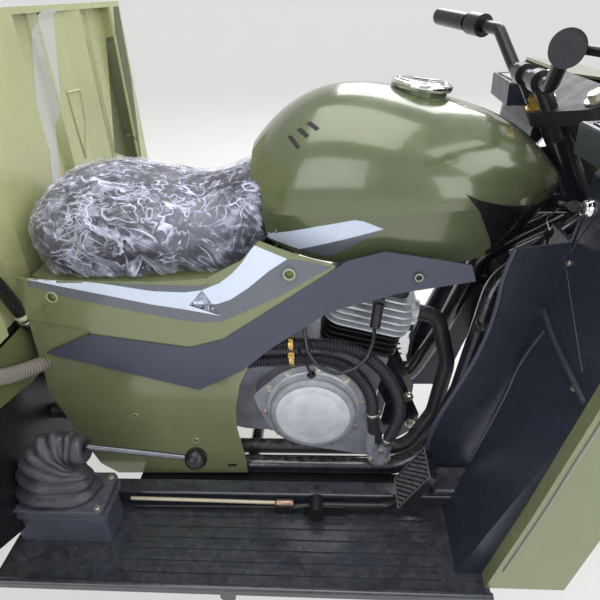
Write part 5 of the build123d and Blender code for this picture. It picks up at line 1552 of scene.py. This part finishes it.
@dataclass
class RearTrim:
    """What lies between the seat and the bed: ledge, sleeve, conduit, mud flaps, the apron in painted shade, and the
    headboard's marks of painted shade and painted highlight.
    """

    panel_x: float = 118.8
    sleeve_end: Point = (134, -170, 640)

    def build(self) -> None:
        """Build the pieces behind the rider."""
        self.build_seat_base()
        self.build_handle()
        self.build_flap()
        self.build_headboard()

    def build_seat_base(self) -> None:
        """Close the gap under the seat with a green ledge."""
        rows = ((150, 128), (200, 150), (300, 158), (400, 156), (480, 148), (540, 132))
        points = [Vector((x, turn * half, z)) * MM for x, half in rows
                  for turn, z in ((-1, 693), (1, 693), (1, 688.5), (-1, 688.5))]
        last = 4 * (len(rows) - 1)
        faces = tiles(len(rows) - 1, 4) + [(3, 2, 1, 0), (last, last + 1, last + 2, last + 3)]
        mesh_piece("seat_ledge", points, faces, GREEN, smooth=False)

    def build_handle(self) -> None:
        """Run the black sleeve with its banded end and the corrugated conduit beside it."""
        tube_piece("sleeve", [(131, -246, 790), (133, -214, 742), (134, -186, 682), self.sleeve_end], 12.5,
                   BOLT_BLACK, 6)
        way = Vector((0, 16, -42))
        for name, share, radius, width, finish in (
                ("sleeve_band_cream", 0.2, 14.0, 9.0, CREAM_BAND), ("sleeve_band_steel", 0.6, 13.6, 6.0, STEEL),
                ("sleeve_tip", 0.92, 12.0, 16.0, BOLT_BLACK)):
            spot = (Vector(self.sleeve_end) + way * share * 0.8) * MM
            half = width / 2 * MM
            outer = radius * MM
            profile = [(0.0, -half), (outer - 0.0006, -half), (outer, -half + 0.0006), (outer, half - 0.0006),
                       (outer - 0.0006, half), (0.0, half)]
            mesh_piece(name, *spun(profile, spot, way, 32), finish=finish)
        corrugated("conduit", [(131, -330, 612), (132, -285, 580), (133, -235, 552), (140, -196, 536),
                               (152, -164, 528), (170, -140, 522)], 10.5, 7.5, CONDUIT_GREY, 0.42)

    def build_flap(self) -> None:
        """Hang the black mud flap and the apron, in bed olive darkened as painted shade, under the bed's front edge."""
        flap = ((8, 520), (8, 200), (150, 170), (420, 300), (440, 540))
        # The apron's darker bed olive is painted shade under the bed's front edge.
        apron = ((0, 604), (0, 478), (188, 497), (304, 520), (600, 520), (600, 604))
        for side in Side:
            for name, outline, low, high, finish in (("flap", flap, 104, 108, BOLT_BLACK),
                                                     ("bed_apron", apron, 118, 121.5, BED_LOW_SHADE)):
                prism(f"{name}_{side.tag}", [(side.value * y, z) for y, z in outline], 0, low, high, finish)

    def build_headboard(self) -> None:
        """Lay the recesses in painted shade, the pale strip of painted highlight and the embossed shapes on the
        headboard.
        """
        surface = node_surface("headboard")
        # The dark outlines are painted shade of the pressed channels; the pale outline is painted highlight on a
        # channel's lit face.
        dark = [(473, 761), (591, 713), (632, 940), (636, 1108), (600, 1108), (539, 942)]
        pale = [(-2, 640), (152, 993), (206, 1112), (275, 1112), (223, 984), (86, 640)]
        for side in Side:
            recess = [(side.value * y, z) for y, z in dark]
            decal(f"headboard_recess_{side.tag[0]}", recess, surface, None, BED_SHADE)
        decal("headboard_strip", pale, surface, None, STRIP_HIGHLIGHT)
        raised = [(245, 952), (308, 948), (300, 880), (258, 806), (250, 870), (245, 952)]
        for side in Side:
            line = [(self.panel_x, -side.value * y, z) for y, z in raised]
            tube_piece(f"headboard_emboss_{side.tag}", cornered(line), 2.2, BED_PAINT, 3)


@dataclass
class Studio:
    """Floor, backdrop, lamps and the camera at the picture's viewing angle."""

    place: Point = (0.715, -0.968, 1.119)
    yaw: float = -5.2
    pitch: float = 29.78
    roll: float = -3.15
    focal_share: float = 538.3 / 600
    floor_half: float = 14.0
    back_share: float = 0.55
    sweep: float = 2.5
    sweep_steps: int = 12
    wall_height: float = 9.0
    pale_share: float = 0.55

    def build(self) -> None:
        """Build the stage, the lamps and the camera."""
        self.build_floor()
        self.build_light()
        self.build_camera()

    def build_floor(self) -> None:
        """Lay the pale floor and raise the backdrop in one swept sheet."""
        half, sweep = self.floor_half, self.sweep
        back = half * self.back_share
        rows: list[Corner] = [(-half, 0.0), (back, 0.0)]
        for step in range(1, self.sweep_steps + 1):
            angle = math.radians(90 * step / self.sweep_steps)
            rows.append((back + sweep * math.sin(angle), sweep * (1 - math.cos(angle))))
        rows.append((back + sweep, self.wall_height))
        points = [Vector((x, y, z)) for y, z in rows for x in (-half, half)]
        faces = [(2 * i, 2 * i + 1, 2 * i + 3, 2 * i + 2) for i in range(len(rows) - 1)]
        floor = mesh_piece("floor", points, faces, FLOOR, body=None)
        self.brighten(floor.data.materials[0])

    def brighten(self, material: bpy.types.Material) -> None:
        """Let the camera and mirrors see the far floor pale, with the trike's shadow kept near it.

        Args:
            material: The floor's material.
        """
        nodes = Nodes(material.node_tree)
        shader, out = (next(n for n in nodes.tree.nodes if n.type == kind) for kind in (
            "BSDF_PRINCIPLED", "OUTPUT_MATERIAL"))
        ray = nodes.add("ShaderNodeLightPath").outputs
        seen = nodes.math("MAXIMUM", ray["Is Camera Ray"], ray["Is Glossy Ray"])
        seen = nodes.math("MAXIMUM", seen, ray["Is Transmission Ray"])
        share = nodes.math("MULTIPLY", seen, self.pale_share)
        glow = nodes.add("ShaderNodeEmission", {"Color": (0.955, 0.945, 0.935, 1.0)})
        mix = nodes.add("ShaderNodeMixShader", {0: share, 1: shader.outputs[0], 2: glow.outputs[0]})
        nodes.feed(mix.outputs[0], out.inputs[0])

    def build_light(self) -> None:
        """Light the trike with a soft sky and broad lamps."""
        world = bpy.data.worlds.new("studio")
        world.use_nodes = True
        nodes = Nodes(world.node_tree)
        sky = nodes.tree.nodes["Background"]
        sky.inputs["Color"].default_value = (0.93, 0.96, 1.0, 1.0)
        sky.inputs["Strength"].default_value = 0.55
        pale = nodes.add("ShaderNodeBackground", {"Color": (0.82, 0.82, 0.825, 1.0)})
        ray = nodes.add("ShaderNodeLightPath").outputs
        mix = nodes.add("ShaderNodeMixShader", {0: ray["Is Camera Ray"], 1: sky.outputs[0], 2: pale.outputs[0]})
        nodes.feed(mix.outputs[0], nodes.tree.nodes["World Output"].inputs["Surface"])
        bpy.context.scene.world = world
        lamps = [
            ("overhead", (0.2, -0.6, 4.2), (0.4, 0.0, 0.5), 3.2, 95.0, (1.0, 0.99, 0.97)),
            ("rear_left", (1.6, 3.2, 3.4), (0.7, 0.0, 0.7), 2.6, 120.0, (0.97, 0.98, 1.0)),
            ("near_right", (-1.2, -3.6, 2.2), (0.5, 0.0, 0.5), 2.4, 42.0, (0.9, 0.94, 1.0)),
            ("front_low", (2.6, -2.6, 1.2), (0.7, 0.0, 0.45), 1.6, 20.0, (0.95, 0.97, 1.0)),
            ("front_high", (3.1, -1.1, 2.5), (0.9, -0.1, 0.85), 2.6, 52.0, (0.97, 0.98, 1.0)),
        ]
        for name, place, target, size, power, colour in lamps:
            light = bpy.data.lights.new(name, "AREA")
            light.energy = power
            light.size = size
            light.color = colour
            lamp = bpy.data.objects.new(name, light)
            lamp.location = place
            lamp.rotation_euler = (Vector(target) - Vector(place)).to_track_quat("-Z", "Y").to_euler()
            bpy.context.scene.collection.objects.link(lamp)

    def build_camera(self) -> None:
        """Set the camera where the picture was taken from."""
        yaw, pitch, roll = (math.radians(a) for a in (self.yaw, self.pitch, self.roll))
        forward = Vector((math.sin(yaw) * math.cos(pitch), math.cos(yaw) * math.cos(pitch), -math.sin(pitch)))
        level = Vector((math.cos(yaw), -math.sin(yaw), 0.0))
        above = level.cross(forward)
        right = math.cos(roll) * level + math.sin(roll) * above
        up = -math.sin(roll) * level + math.cos(roll) * above
        data = bpy.data.cameras.new("camera")
        data.sensor_width = 36.0
        data.lens = 36.0 * self.focal_share
        data.clip_start = 0.02
        camera = bpy.data.objects.new("camera", data)
        turn = Matrix((right, up, -forward)).transposed().to_4x4()
        camera.matrix_world = Matrix.Translation(self.place) @ turn
        bpy.context.scene.collection.objects.link(camera)
        bpy.context.scene.camera = camera


def main() -> None:
    """Build the sub-assemblies in order and report each one."""
    logging.basicConfig(level=logging.INFO, format="%(name)s: %(message)s")
    scene = bpy.context.scene
    scene.view_settings.view_transform = "Standard"
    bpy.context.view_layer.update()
    PlainNodes().dress()
    LOG.info("finishes set on %d nodes", len(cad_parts))
    for part in (SeatBuild(), BodyTrim(), EngineDress(), RiderControls(), ConsoleTrim(), RearTrim(), Wheels()):
        part.build()
        LOG.info("%s built", type(part).__name__)
    Studio().build()
    LOG.info("studio ready")


if __name__ == "__main__":
    main()
